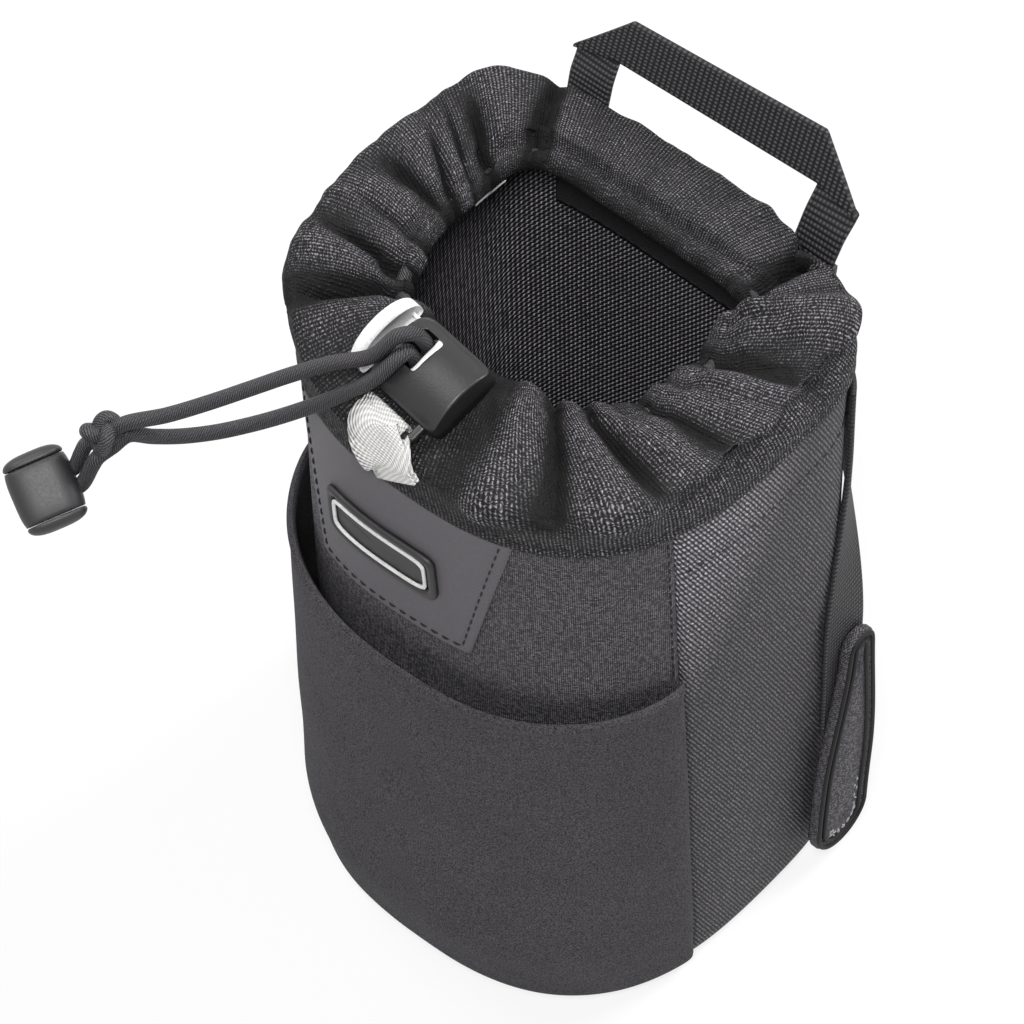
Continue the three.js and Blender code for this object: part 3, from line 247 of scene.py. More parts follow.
HEM_STITCHES = (0.0028, 0.0122)
RIGHT_BULGE_SHARE = -1.1                        # the right side is drawn in, not out
HANDLE_SIDES, HANDLE_REACH, HANDLE_PRESS = (47, 133), (11, 18), 0.0006    # collar under the legs
FOLD_BLUR, FOLD_REACH = 26, 0.0062              # columns, and height of full shade
# Painted shade on the collar's colour: under the turned-in lip, around the cord lock and on the left
# side
LIP_SHADE, LOCK_SHADE, LEFT_SHADE = 0.22, 0.17, 0.08
PRESSED_REACH = (20, 38)
RISE_SHARES = (0, 0.32, 0.5, 0.68, 0.83, 0.95)
BULGE_SHARES = (0, 0.05, 0.45, 1, 0.95, 0.3)
TOP_SHARES = (0.2, 0.42, 0.66)
DROP_SHARES = (0, 0.05, 0.3)
CHANNEL_TURNS = (115, 80, 40, 0, -45, -90, -125)
COLLAR_COLUMNS, COLLAR_STEPS = 900, 6

# Routes of the two free cords, as offsets from the lock's face, metres
UPPER_BEND = ((0.0018, 0.0036, -0.0003), (-0.0015, 0.0056, -0.0022))
LOWER_BEND = ((-0.0029, 0.0014, 0.0003), (-0.0056, 0.0022, 0.0003))
UPPER_PLACES = (
    (-0.007, -0.0083, -0.0021), (-0.0135, -0.016, -0.0028), (-0.0203, -0.0241, -0.0054),
    (-0.027, -0.032, -0.0089), (-0.0339, -0.0402, -0.0124), (-0.0407, -0.0482, -0.0152),
)
LOWER_PLACES = (
    (-0.0032, -0.0114, -0.0049), (-0.0089, -0.0159, -0.0111), (-0.015, -0.0214, -0.016),
    (-0.0213, -0.0271, -0.0203), (-0.0275, -0.0326, -0.0238), (-0.0329, -0.039, -0.0249),
    (-0.0384, -0.0455, -0.0247), (-0.043, -0.051, -0.0232),
)
UPPER_LIFT = 25
LOWER_LIFT = -19
KNOT_REACH = KNOT_DIAMETER / 2 + 2 * CLEARANCE
TOGGLE_BORE = 0.007
SLOT_GAP = CLEARANCE / 2

# Seams of the wall
SEAM_GAP_ANGLE = CLEARANCE / RIM_WIDTH
SIDE_STITCH_HEIGHT = 0.19
SIDE_STITCH_PULL = 0.0006

# Finishes: grey values are turned slightly warm or cool by a tint
BLACK_TINT, WHITE_TINT, PLAIN_TINT = (1.03, 0.97, 1.07), (1.01, 1.0, 0.98), (1.0, 1.0, 1.0)
# Painted shade: the share of the collar's colour left in its deepest fold valleys
FOLD_SHADE = 0.02
TWILL_PITCH, TWILL_SLANT = 0.0012, 0.46
MESH_ROW, MESH_STROKE = 0.0019, 0.0014
PATCH_RIB = 0.0007
WEBBING_RIB, WEBBING_THREAD = 0.0016, 0.0011
BRAID_RIB, BRAID_ROW = 0.00065, 0.0009
TAPE_KNIT = 0.0013

# Studio: lamps as name, place, size and power
LAMPS = (
    ("key_lamp", (0.55, -0.8, 1.8), 0.45, 32),
    ("fill_lamp", (-1.1, -0.2, 1.4), 1.0, 12),
    ("back_lamp", (0.5, 1.2, 1.5), 0.7, 32),
)
SURROUND_LIGHT = 0.1
PAPER_GLOW = 0.8
FLOOR_HALF = 3.0

NEAR_NOUGHT = 1e-6


def mix(a, b, share):
    return a + (b - a) * share


def smooth(value, low, high):
    """Nought below low, one above high, and 3t^2 - 2t^3 between them."""
    t = np.clip((value - low) / (high - low), 0, 1)
    return t * t * (3 - 2 * t)


def unit(vectors):
    return vectors / np.linalg.norm(vectors, axis=-1, keepdims=True)


def rounded(share):
    """Quarter circle that rises from nought at 0 to one at 1 and stays there."""
    return np.sqrt(1 - (1 - np.clip(share, 0, 1)) ** 2)


def oval_reach(angle, half_x, half_y, power):
    """Reach of a superellipse at an angle: (|cos / half_x|^p + |sin / half_y|^p)^(-1/p)."""
    total = np.abs(np.cos(angle) / half_x) ** power + np.abs(np.sin(angle) / half_y) ** power
    return total ** (-1 / power)


def angle_between(angle, middle):
    """Unsigned difference of two angles, in radians."""
    return np.abs((angle - middle + math.pi) % (2 * math.pi) - math.pi)


def distance_along(path):
    """Distance run at each point of a path."""
    return np.concatenate([[0], np.cumsum(np.linalg.norm(np.diff(path, axis=0), axis=-1))])


def sampled(rows, run, at):
    """Rows of numbers read at given distances along their path."""
    return np.stack([np.interp(at, run, rows[:, k]) for k in range(rows.shape[1])], -1)


def lattice_noise(u, v, seed, period=64):
    """Smooth noise from -1 to 1: random values on the whole numbers, joined by smooth steps and
    repeating after the period in u."""
    table = np.random.default_rng(seed).uniform(-1, 1, (period, 64))
    u, v = np.broadcast_arrays(u, v)
    i, j = np.floor(u).astype(int), np.floor(v).astype(int)
    s, t = smooth(u - i, 0, 1), smooth(v - j, 0, 1)
    i, after, j, above = i % period, (i + 1) % period, j % 64, (j + 1) % 64
    return mix(mix(table[i, j], table[after, j], s), mix(table[i, above], table[after, above], s), t)


def spline(points, steps):
    """Centripetal Catmull-Rom curve through rows of points, with a number of steps a stretch."""
    p = np.asarray(points, float)
    p = np.concatenate([2 * p[:1] - p[1:2], p, 2 * p[-1:] - p[-2:-1]])
    p0, p1, p2, p3 = (p[k:len(p) - 3 + k, None] for k in range(4))
    d1, d2, d3 = (np.maximum(np.linalg.norm(b - a, axis=-1, keepdims=True), NEAR_NOUGHT) ** 0.5
                  for a, b in ((p0, p1), (p1, p2), (p2, p3)))
    t = np.linspace(0, 1, steps, endpoint=False).reshape((1, steps) + (1,) * (p.ndim - 1))
    m1 = (p1 - p0) / d1 * d2 - (p2 - p0) / (d1 + d2) * d2 + (p2 - p1)
    m2 = (p2 - p1) - (p3 - p1) / (d2 + d3) * d2 + (p3 - p2) / d3 * d2
    curve = (p1 * (2 * t**3 - 3 * t**2 + 1) + m1 * (t**3 - 2 * t**2 + t)
             + p2 * (3 * t**2 - 2 * t**3) + m2 * (t**3 - t**2))
    return np.concatenate([curve.reshape((-1,) + p.shape[1:]), p[-2:-1]])


def section(front, height):
    """Half width, depth and power of the body's section on one side, at a height."""
    rise = height / RIM_HEIGHT
    half = mix(BASE_WIDTH, RIM_WIDTH, rise) / 2
    depth = np.where(front, mix(BASE_FRONT, RIM_FRONT, rise), mix(BASE_BACK, RIM_BACK, rise))
    return half, depth, np.where(front, FRONT_POWER, BACK_POWER)


def off_surface(x, y, height, out):
    """The body's point at x and y, moved by out along the superellipse's own level normal."""
    half, depth, power = section(y < 0, height)
    nx = np.sign(x) * np.abs(x / half) ** (power - 1) / half
    ny = np.sign(y) * np.abs(y / depth) ** (power - 1) / depth
    size = np.hypot(nx, ny)
    return np.stack(np.broadcast_arrays(x + out * nx / size, y + out * ny / size, height), -1)


def wall(angle, height, out):
    """Wall point at an angle (radians, seen from above) and height: the section's reach there,
    with a quarter circle that draws the base corner in."""
    angle, height = np.asarray(angle, float), np.asarray(height, float)
    half, depth, power = section(np.sin(angle) < 0, height)
    reach = oval_reach(angle, half, depth, power)
    below = np.clip(BASE_CORNER - height, 0, BASE_CORNER)
    inset = BASE_CORNER - np.sqrt(BASE_CORNER**2 - below**2)
    return off_surface(reach * np.cos(angle), reach * np.sin(angle), height, out - inset)


def face_point(x, height, out, front=True):
    """Point of the front or back wall above a place on the X axis."""
    x, height = np.asarray(x, float), np.asarray(height, float)
    half, depth, power = section(front, height)
    y = depth * (1 - np.abs(x / half) ** power) ** (1 / power)
    return off_surface(x, -y if front else y, height, out)


def seam_angle(height):
    return np.radians(mix(SEAM_BASE_ANGLE, SEAM_RIM_ANGLE, height / RIM_HEIGHT))


def direction(heading, slope):
    """Unit vector from a heading seen from above and a slope, in degrees."""
    turn, rise = math.radians(heading), math.radians(slope)
    return np.array([math.cos(rise) * math.cos(turn), math.cos(rise) * math.sin(turn), math.sin(rise)])


def new_piece(name, points, faces, finish, body="pouch", replaces=(), slot=None, uv=None):
    """One mesh object at the origin, riding a body. uv has one row for each corner of the faces."""
    mesh = bpy.data.meshes.new(name)
    mesh.from_pydata(points.tolist(), [], faces if isinstance(faces, list) else faces.tolist())
    if uv is not None:
        mesh.uv_layers.new(name="cloth").data.foreach_set("uv", np.asarray(uv, np.float32).ravel())
    mesh.polygons.foreach_set("use_smooth", np.full(len(mesh.polygons), True))
    mesh.materials.append(finish)
    piece = bpy.data.objects.new(name, mesh)
    bpy.context.scene.collection.objects.link(piece)
    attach(piece, body)
    if replaces:
        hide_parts(*replaces)
    return piece


def grid_faces(columns, rows, around, start=0, turned=False):
    """Four-sided faces of a grid, as corners' places in the points and in the pattern's grid."""
    i, j = np.meshgrid(np.arange(columns if around else columns - 1), np.arange(rows - 1),
                       indexing="ij")
    corners = [(i, j), (i + 1, j), (i + 1, j + 1), (i, j + 1)]
    if turned:
        corners = corners[::-1]
    places = np.stack([start + (a % columns) * rows + b for a, b in corners], -1).reshape(-1, 4)
    pattern = np.stack([a * rows + b for a, b in corners], -1).reshape(-1, 4)
    return places, pattern


def lengths_along(points, axis):
    """Distance run along one axis of a grid of points, averaged over the other axis."""
    steps = np.linalg.norm(np.diff(points, axis=axis), axis=-1).mean(axis=1 - axis)
    return np.concatenate([[0], np.cumsum(steps)])


def shell(name, outer, inner, finish, around=False, pattern=None, **options):
    """A closed sheet between two grids of points. Its cloth pattern is measured along the outer
    grid's columns and rows, in metres, unless it is given."""
    columns, rows = outer.shape[:2]
    if pattern is None:
        loop = np.concatenate([outer, outer[:1]]) if around else outer
        pattern = np.stack(np.meshgrid(lengths_along(loop, 0), lengths_along(loop, 1),
                                       indexing="ij"), -1)
    pattern = pattern.reshape(-1, 2)
    half = columns * rows
    near, near_uv = grid_faces(columns, rows, around)
    far, far_uv = grid_faces(columns, rows, around, half, True)
    faces, uv = [near, far], [pattern[near_uv], pattern[far_uv]]
    for row, flip in ((0, False), (rows - 1, True)):
        i = np.arange(columns if around else columns - 1)
        a, b = i * rows + row, (i + 1) % columns * rows + row
        ring = np.stack([a, a + half, b + half, b], -1)
        ring_uv = np.stack([i * rows + row] * 2 + [(i + 1) * rows + row] * 2, -1)
        faces.append(ring[:, ::-1] if flip else ring)
        uv.append(pattern[ring_uv[:, ::-1] if flip else ring_uv])
    if not around:
        for column, flip in ((0, True), (columns - 1, False)):
            a = column * rows + np.arange(rows - 1)
            side = np.stack([a, a + half, a + 1 + half, a + 1], -1)
            side_uv = np.stack([a, a, a + 1, a + 1], -1)
            faces.append(side[:, ::-1] if flip else side)
            uv.append(pattern[side_uv[:, ::-1] if flip else side_uv])
    faces, uv = np.concatenate(faces), np.concatenate([part.reshape(-1, 4, 2) for part in uv])
    points = np.concatenate([outer.reshape(-1, 3), inner.reshape(-1, 3)])
    faces, uv = facing_out(points, faces, uv)
    return new_piece(name, points, faces, finish, uv=uv.reshape(-1, 2), **options)


def facing_out(points, faces, uv=None):
    """Turns every face round if the closed mesh's signed volume is below nought."""
    a, b, c, d = (points[faces[:, k]] for k in range(4))
    volume = np.einsum("ij,ij->", a, np.cross(b, c)) + np.einsum("ij,ij->", a, np.cross(c, d))
    if volume < 0:
        faces = faces[:, ::-1]
        uv = None if uv is None else uv[:, ::-1]
    return faces if uv is None else (faces, uv)


def frames_along(path, side):
    """Tangents along a path with two level directions across it, the first one nearest to side."""
    tangent = unit(np.gradient(path, axis=0))
    side = np.broadcast_to(np.asarray(side, float), path.shape)
    across = unit(side - np.sum(side * tangent, -1, keepdims=True) * tangent)
    return tangent, across, np.cross(tangent, across)


def carried(path, profile, side, scale=None):
    """A profile of [across, up] pairs carried along a path: path + across * u + up * v."""
    _, across, up = frames_along(path, side)
    profile = np.asarray(profile, float)
    scale = np.ones(len(path)) if scale is None else scale
    return (path[:, None] + across[:, None] * (profile[None, :, :1] * scale[:, None, None])
            + up[:, None] * (profile[None, :, 1:] * scale[:, None, None]))


def circle(radius, sides):
    turn = np.linspace(0, 2 * math.pi, sides, endpoint=False)
    return radius * np.stack([np.cos(turn), np.sin(turn)], -1)


def lofted(name, rings, finish, closed=False, **options):
    """A closed skin through a row of equal rings, with each open end drawn to its middle. The cloth
    pattern is the distance along the rings and the distance around them."""
    count, sides = rings.shape[:2]
    loop = np.concatenate([rings, rings[:1]]) if closed else rings
    along = lengths_along(loop, 0)
    girth = lengths_along(np.concatenate([rings, rings[:, :1]], 1), 1)
    points = rings.reshape(-1, 3)
    i, j = np.meshgrid(np.arange(count if closed else count - 1), np.arange(sides), indexing="ij")
    corners = [(i, j), (i, j + 1), (i + 1, j + 1), (i + 1, j)]
    faces = np.stack([a % count * sides + b % sides for a, b in corners], -1).reshape(-1, 4)
    uv = np.stack([np.stack([along[a], girth[b]], -1) for a, b in corners], -2).reshape(-1, 4, 2)
    a, b, c, d = (points[faces[:, k]] for k in range(4))
    middle = points.mean(0)
    volume = np.einsum("ij,ij->", a - middle, np.cross(b - middle, c - middle))
    volume += np.einsum("ij,ij->", a - middle, np.cross(c - middle, d - middle))
    if volume < 0:
        faces, uv = faces[:, ::-1], uv[:, ::-1]
    flat_uv = [uv.reshape(-1, 2)]
    face_list = faces.tolist()
    if not closed:
        turned = volume < 0
        for ring, start, at in ((rings[0], 0, along[0]), (rings[-1], (count - 1) * sides, along[-1])):
            points = np.concatenate([points, ring.mean(0)[None]])
            k = np.arange(sides)
            first, second = start + k, start + (k + 1) % sides
            if (start == 0) != turned:
                first, second = second, first
            face_list += np.stack([np.full(sides, len(points) - 1), first, second], -1).tolist()
            cap_uv = np.stack([np.full(sides * 3, at), np.repeat(girth[:-1], 3)], -1)
            flat_uv.append(cap_uv)
    return new_piece(name, points, face_list, finish, uv=np.concatenate(flat_uv), **options)


def add_node(tree, kind, inputs=(), output=0, **settings):
    """Adds a shader node with its settings, values and links, and gives one of its outputs."""
    node = tree.nodes.new("ShaderNode" + kind)
    for setting, value in settings.items():
        setattr(node, setting, value)
    for socket, value in dict(inputs).items():
        if isinstance(value, bpy.types.NodeSocket):
            tree.links.new(value, node.inputs[socket])
        else:
            node.inputs[socket].default_value = value
    return node.outputs[output]


class Finish:
    """A procedural finish: one Principled shader, with short calls that add nodes to it."""

    def __init__(self, name, colour, roughness, **sockets):
        self.material = bpy.data.materials.new(name)
        self.material.use_nodes = True
        self.tree = self.material.node_tree
        self.shader = self.tree.nodes["Principled BSDF"]
        self.shader.inputs["Base Color"].default_value = (*colour, 1)
        self.shader.inputs["Roughness"].default_value = roughness
        for socket, value in sockets.items():
            self.shader.inputs[socket.replace("_", " ")].default_value = value
        self.height = None

    def add(self, kind, inputs=(), output=0, **settings):
        return add_node(self.tree, kind, inputs, output, **settings)

    def maths(self, operation, a, b=0.0, c=0.0):
        return self.add("Math", {0: a, 1: b, 2: c}, operation=operation)

    def times(self, a, b):
        return self.maths("MULTIPLY", a, b)

    def cloth(self, turn=0.0):
        """Distances along and across the cloth, in metres, from the piece's own UV map."""
        place = self.add("UVMap", uv_map="cloth")
        if turn:
            place = self.add("Mapping", {"Vector": place, "Rotation": (0, 0, math.radians(turn))})
        return self.add("SeparateXYZ", {0: place}, 0), self.add("SeparateXYZ", {0: place}, 1)

    def wave(self, distance, pitch, phase=0.0):
        """Sine of the distance, one wave each pitch."""
        return self.maths("SINE", self.maths("MULTIPLY_ADD", distance, 2 * math.pi / pitch, phase))

    def noise(self, scale, detail=2.0):
        """Noise in the piece's own space, that many waves each metre."""
        place = self.add("TexCoord", output="Object")
        return self.add("TexNoise", {"Vector": place, "Scale": scale, "Detail": detail})

    def between(self, factor, low, high, start=0.0, end=1.0):
        """A number that goes from low to high as the factor goes from start to end."""
        return self.add("MapRange", {"Value": factor, "From Min": start, "From Max": end,
                                     "To Min": low, "To Max": high})

    def paint(self, factor, dark, light):
        """Base colour between two colours."""
        mixed = self.add("Mix", {0: factor, 6: (*dark, 1), 7: (*light, 1)}, output=2, data_type="RGBA")
        self.tree.links.new(mixed, self.shader.inputs["Base Color"])

    def shine(self, factor, low, high, start=0.0, end=1.0):
        self.tree.links.new(self.between(factor, low, high, start, end), self.shader.inputs["Roughness"])

    def bump(self, height, distance, strength=1.0):
        """Adds a relief of that depth in metres on top of the ones before."""
        inputs = {"Height": height, "Distance": distance, "Strength": strength}
        if self.height is not None:
            inputs["Normal"] = self.height
        self.height = self.add("Bump", inputs)
        self.tree.links.new(self.height, self.shader.inputs["Normal"])


def grey(value, tint=BLACK_TINT):
    return tuple(value * part for part in tint)


def dotted_weave(finish, pitch, depth, dark, light, turn=0.0, stretch=1.0, power=1.5, mask=None):
    """Threads crossing as rows of dots: the product of two sines of the cloth's distances, raised to a
    power that keeps the thread tops and made uneven by noise. The pale thread tops are the weave's own
    dots and also painted glints, and the noise paints brighter glint specks on some of them."""
    along, up = finish.cloth(turn)
    sway = finish.between(finish.noise(600, 1.0), -1.5 * pitch, 1.5 * pitch)
    along, up = finish.maths("ADD", along, sway), finish.maths("SUBTRACT", up, sway)
    dots = finish.times(finish.wave(along, 2 * pitch), finish.wave(up, 2 * pitch * stretch))
    level = finish.maths("POWER", finish.between(dots, 0, 1, -1, 1), power)
    # painted glint specks: the noise lifts some thread tops far above the rest
    grain = finish.between(finish.noise(1100, 2.0), 0.35, 2.3, 0.42, 0.72)
    level = finish.times(level, grain)
    colour = level if mask is None else finish.times(level, mask)
    finish.paint(colour, dark, light)
    finish.shine(level, 0.8, 0.42)
    finish.bump(level, depth)


def collar_fabric():
    """Packcloth: fine dots of crossing threads, their pale tops partly painted glints, over small soft
    wrinkles. Painted shade darkens it where the second UV map says that a fold is deep, and painted
    light brightens the fold ridges."""
    finish = Finish("collar_packcloth", grey(0.02), 0.6, Specular_IOR_Level=0.25)
    finish.bump(finish.noise(170, 3.0), 0.0013)
    height = finish.add("SeparateXYZ", {0: finish.add("UVMap", uv_map="folds")})
    # painted shading of the folds: the colour falls to FOLD_SHADE in deep valleys and rises to 1.2 times
    # on ridges
    painted_fold_shading = finish.between(height, FOLD_SHADE, 1.2, 0.2, 0.6)
    dotted_weave(finish, 0.00062, 0.00056, grey(0.0015), grey(0.5), turn=40, power=4.8, mask=painted_fold_shading)
    return finish.material


def front_fabric():
    """Fine speckled cloth of the front."""
    finish = Finish("front_ripstop", grey(0.02), 0.65, Specular_IOR_Level=0.2)
    dotted_weave(finish, 0.0004, 0.00024, grey(0.006), grey(0.36), turn=45, power=2.8)
    return finish.material


def side_fabric(name, seam_glow):
    """Ballistic twill: slanting ribs broken into dots, pale close to the front seam and faint away
    from it."""
    finish = Finish(name, grey(0.02), 0.6, Specular_IOR_Level=0.2)
    along, up = finish.cloth()
    sway = finish.between(finish.noise(500, 1.0), -0.0003, 0.0003)
    across = finish.maths("ADD", finish.maths("MULTIPLY_ADD", up, TWILL_SLANT, along), sway)
    ribs = finish.between(finish.wave(across, TWILL_PITCH), 0, 1, -0.8, 1)
    length = finish.maths("SUBTRACT", finish.maths("MULTIPLY_ADD", along, -0.12, up), sway)
    dots = finish.between(finish.wave(length, TWILL_PITCH * 1.9), 0, 1, -0.7, 1)
    grain = finish.between(finish.noise(1300, 2.0), 0.45, 2.0, 0.42, 0.7)
    if seam_glow:
        reach = finish.maths("MULTIPLY_ADD", up, -0.55, finish.maths("ADD", along, 0.55 * RIM_HEIGHT))
        glow = finish.between(reach, 1, 0, 0.004, 0.05)
    else:
        glow = 0.1
    broken = finish.between(glow, 0.62, 0.1)
    knobs = finish.maths("MULTIPLY_ADD", dots, finish.maths("SUBTRACT", 1.0, broken), broken)
    level = finish.times(finish.times(ribs, knobs), grain)
    finish.paint(finish.times(level, finish.between(glow, 0.2, 1.0)), grey(0.005), grey(0.75))
    finish.bump(level, 0.0003)
    return finish.material


def tab_fabric():
    finish = Finish("tab_nylon", grey(0.02), 0.6, Specular_IOR_Level=0.25)
    dotted_weave(finish, 0.0004, 0.0002, grey(0.01), grey(0.2), power=1.9)
    return finish.material


def stretch_fabric():
    finish = Finish("stretch_knit", grey(0.03), 0.85, Specular_IOR_Level=0.15)
    speckle = finish.noise(2400, 2.0)
    broad = finish.noise(45, 2.0)
    finish.bump(broad, 0.0012)
    shade = finish.times(finish.between(speckle, 0, 1, 0.3, 0.7), finish.between(broad, 0.85, 1.15))
    finish.paint(shade, grey(0.008), grey(0.09))
    finish.bump(speckle, 0.00014)
    return finish.material


def patch_fabric():
    finish = Finish("patch_rib", grey(0.02), 0.6, Specular_IOR_Level=0.3)
    _, up = finish.cloth()
    ribs = finish.wave(up, PATCH_RIB)
    grain = finish.between(finish.noise(900), 0.8, 1.2)
    level = finish.times(finish.between(ribs, 0.45, 1, -1, 1), grain)
    finish.paint(level, grey(0.03), grey(0.12))
    finish.bump(ribs, 0.00006)
    return finish.material


def lining_fabric():
    """Mesh lining: level rows of short slanting strokes."""
    finish = Finish("lining_mesh", grey(0.02), 0.6)
    along, up = finish.cloth()
    row = finish.maths("FRACT", finish.maths("DIVIDE", up, MESH_ROW))
    bend = finish.times(finish.wave(row, 1.0), 0.12)
    place = finish.maths("DIVIDE", along, MESH_STROKE)
    slant = finish.maths("ADD", finish.maths("MULTIPLY_ADD", row, 0.95, place), bend)
    strokes = finish.between(finish.wave(slant, 1.0), 0, 1, 0.15, 1)
    breaks = finish.maths("POWER", finish.maths("SINE", finish.times(row, math.pi)), 0.6)
    grain = finish.between(finish.noise(500), 0.3, 1.6, 0.3, 0.7)
    level = finish.times(finish.times(strokes, breaks), grain)
    finish.paint(level, grey(0.006), grey(0.55))
    finish.bump(level, 0.0003)
    return finish.material


def webbing_fabric():
    """Webbing: ribs across the strip, broken into rows of knobs by its lengthwise threads."""
    finish = Finish("webbing_rib", grey(0.02), 0.6, Specular_IOR_Level=0.25)
    along, up = finish.cloth()
    ribs = finish.between(finish.wave(along, WEBBING_RIB), 0, 1, -1, 1)
    threads = finish.between(finish.wave(up, WEBBING_THREAD), 0.25, 1, -1, 1)
    grain = finish.between(finish.noise(800), 0.5, 1.5)
    level = finish.times(finish.times(ribs, threads), grain)
    finish.paint(level, grey(0.004), grey(0.09))
    finish.bump(level, 0.0004)
    return finish.material


def braid_fabric():
    """Elastic cord's sheath: fine slanting ribs, dark where they dive."""
    finish = Finish("cord_braid", grey(0.02), 0.5, Specular_IOR_Level=0.35)
    along, around = finish.cloth()
    slant = finish.maths("MULTIPLY_ADD", around, 0.6, along)
    cross = finish.maths("MULTIPLY_ADD", along, 0.2, around)
    ribs = finish.between(finish.wave(slant, BRAID_RIB), 0, 1, -1, 1)
    rows = finish.between(finish.wave(cross, BRAID_ROW), 0.45, 1, -1, 1)
    level = finish.times(ribs, rows)
    finish.paint(level, grey(0.004), grey(0.1))
    finish.bump(level, 0.0003)
    return finish.material


def moulded(name, value, roughness, grain=0.00002, tint=BLACK_TINT, **sockets):
    finish = Finish(name, grey(value, tint), roughness, **sockets)
    speckle = finish.noise(1500, 3.0)
    finish.paint(speckle, grey(value * 0.7, tint), grey(value * 1.3, tint))
    finish.shine(speckle, roughness * 0.85, roughness * 1.2)
    finish.bump(speckle, grain)
    return finish.material


def tape_fabric():
    """White elastic tape: knitted bumps in slanting rows."""
    finish = Finish("tether_knit", grey(0.82, WHITE_TINT), 0.8)
    along, up = finish.cloth()
    rows = finish.wave(finish.maths("MULTIPLY_ADD", up, 0.5, along), TAPE_KNIT)
    ribs = finish.wave(up, TAPE_KNIT)
    level = finish.between(finish.times(rows, ribs), 0, 1, -1, 1)
    finish.paint(level, grey(0.42, WHITE_TINT), grey(0.8, WHITE_TINT))
    finish.bump(level, 0.0004)
    return finish.material


def pile_fabric(name, value):
    finish = Finish(name, grey(value), 0.9, Specular_IOR_Level=0.15)
    pile = finish.noise(2200, 3.0)
    finish.paint(pile, grey(value * 0.4), grey(value * 1.8))
    finish.bump(pile, 0.0005)
    return finish.material


def thread_finish(name, value):
    finish = Finish(name, grey(value), 0.6, Specular_IOR_Level=0.2)
    twist = finish.noise(3000, 1.0)
    finish.paint(twist, grey(value * 0.7), grey(value * 1.3))
    return finish.material


def stitches(name, rows, finish, body="pouch", length=0.0024, gap=0.0011, thickness=0.0005, **options):
    """Thread stitches along rows. A row is a path and its outward directions. Each stitch is a short
    tube that dips at both ends: across = r cos t, up = r sin t + rise (1 - s^2), s along it."""
    sides, rings = 6, 7
    turn = np.linspace(0, 2 * math.pi, sides, endpoint=False)
    s = np.linspace(-1, 1, rings)
    radius = thickness / 2 * np.sqrt(np.clip(1 - s**4, 0.02, 1))
    template = np.stack(np.broadcast_arrays(
        s[:, None] * length / 2,
        radius[:, None] * np.cos(turn),
        radius[:, None] * np.sin(turn) + thickness * 0.6 * (1 - s[:, None] ** 2) - thickness * 0.45,
    ), -1).reshape(-1, 3)
    i, j = np.meshgrid(np.arange(rings - 1), np.arange(sides), indexing="ij")
    quads = np.stack([i * sides + j, i * sides + (j + 1) % sides, (i + 1) * sides + (j + 1) % sides,
                      (i + 1) * sides + j], -1).reshape(-1, 4)[:, ::-1]
    caps = np.stack([np.arange(sides), np.arange((rings - 1) * sides, rings * sides)[::-1]])
    points = []
    for path, out in rows:
        path, out = np.asarray(path), np.asarray(out)
        run = distance_along(path)
        count = max(int(run[-1] / (length + gap)), 1)
        at = (np.arange(count) + 0.5) * run[-1] / count
        along = unit(sampled(path, run, at + length / 4) - sampled(path, run, at - length / 4))
        across = unit(np.cross(unit(sampled(out, run, at)), along))
        basis = np.stack([along, across, np.cross(along, across)], 1)
        points.append(sampled(path, run, at)[:, None] + np.einsum("pk,nkc->npc", template, basis))
    points = np.concatenate(points)
    start = np.arange(len(points))[:, None, None] * len(template)
    faces = (quads + start).reshape(-1, 4).tolist() + (caps + start).reshape(-1, sides).tolist()
    return new_piece(name, points.reshape(-1, 3), faces, finish, body, **options)


black_thread = thread_finish("black_thread", 0.012)
pale_thread = thread_finish("pale_thread", 0.3)


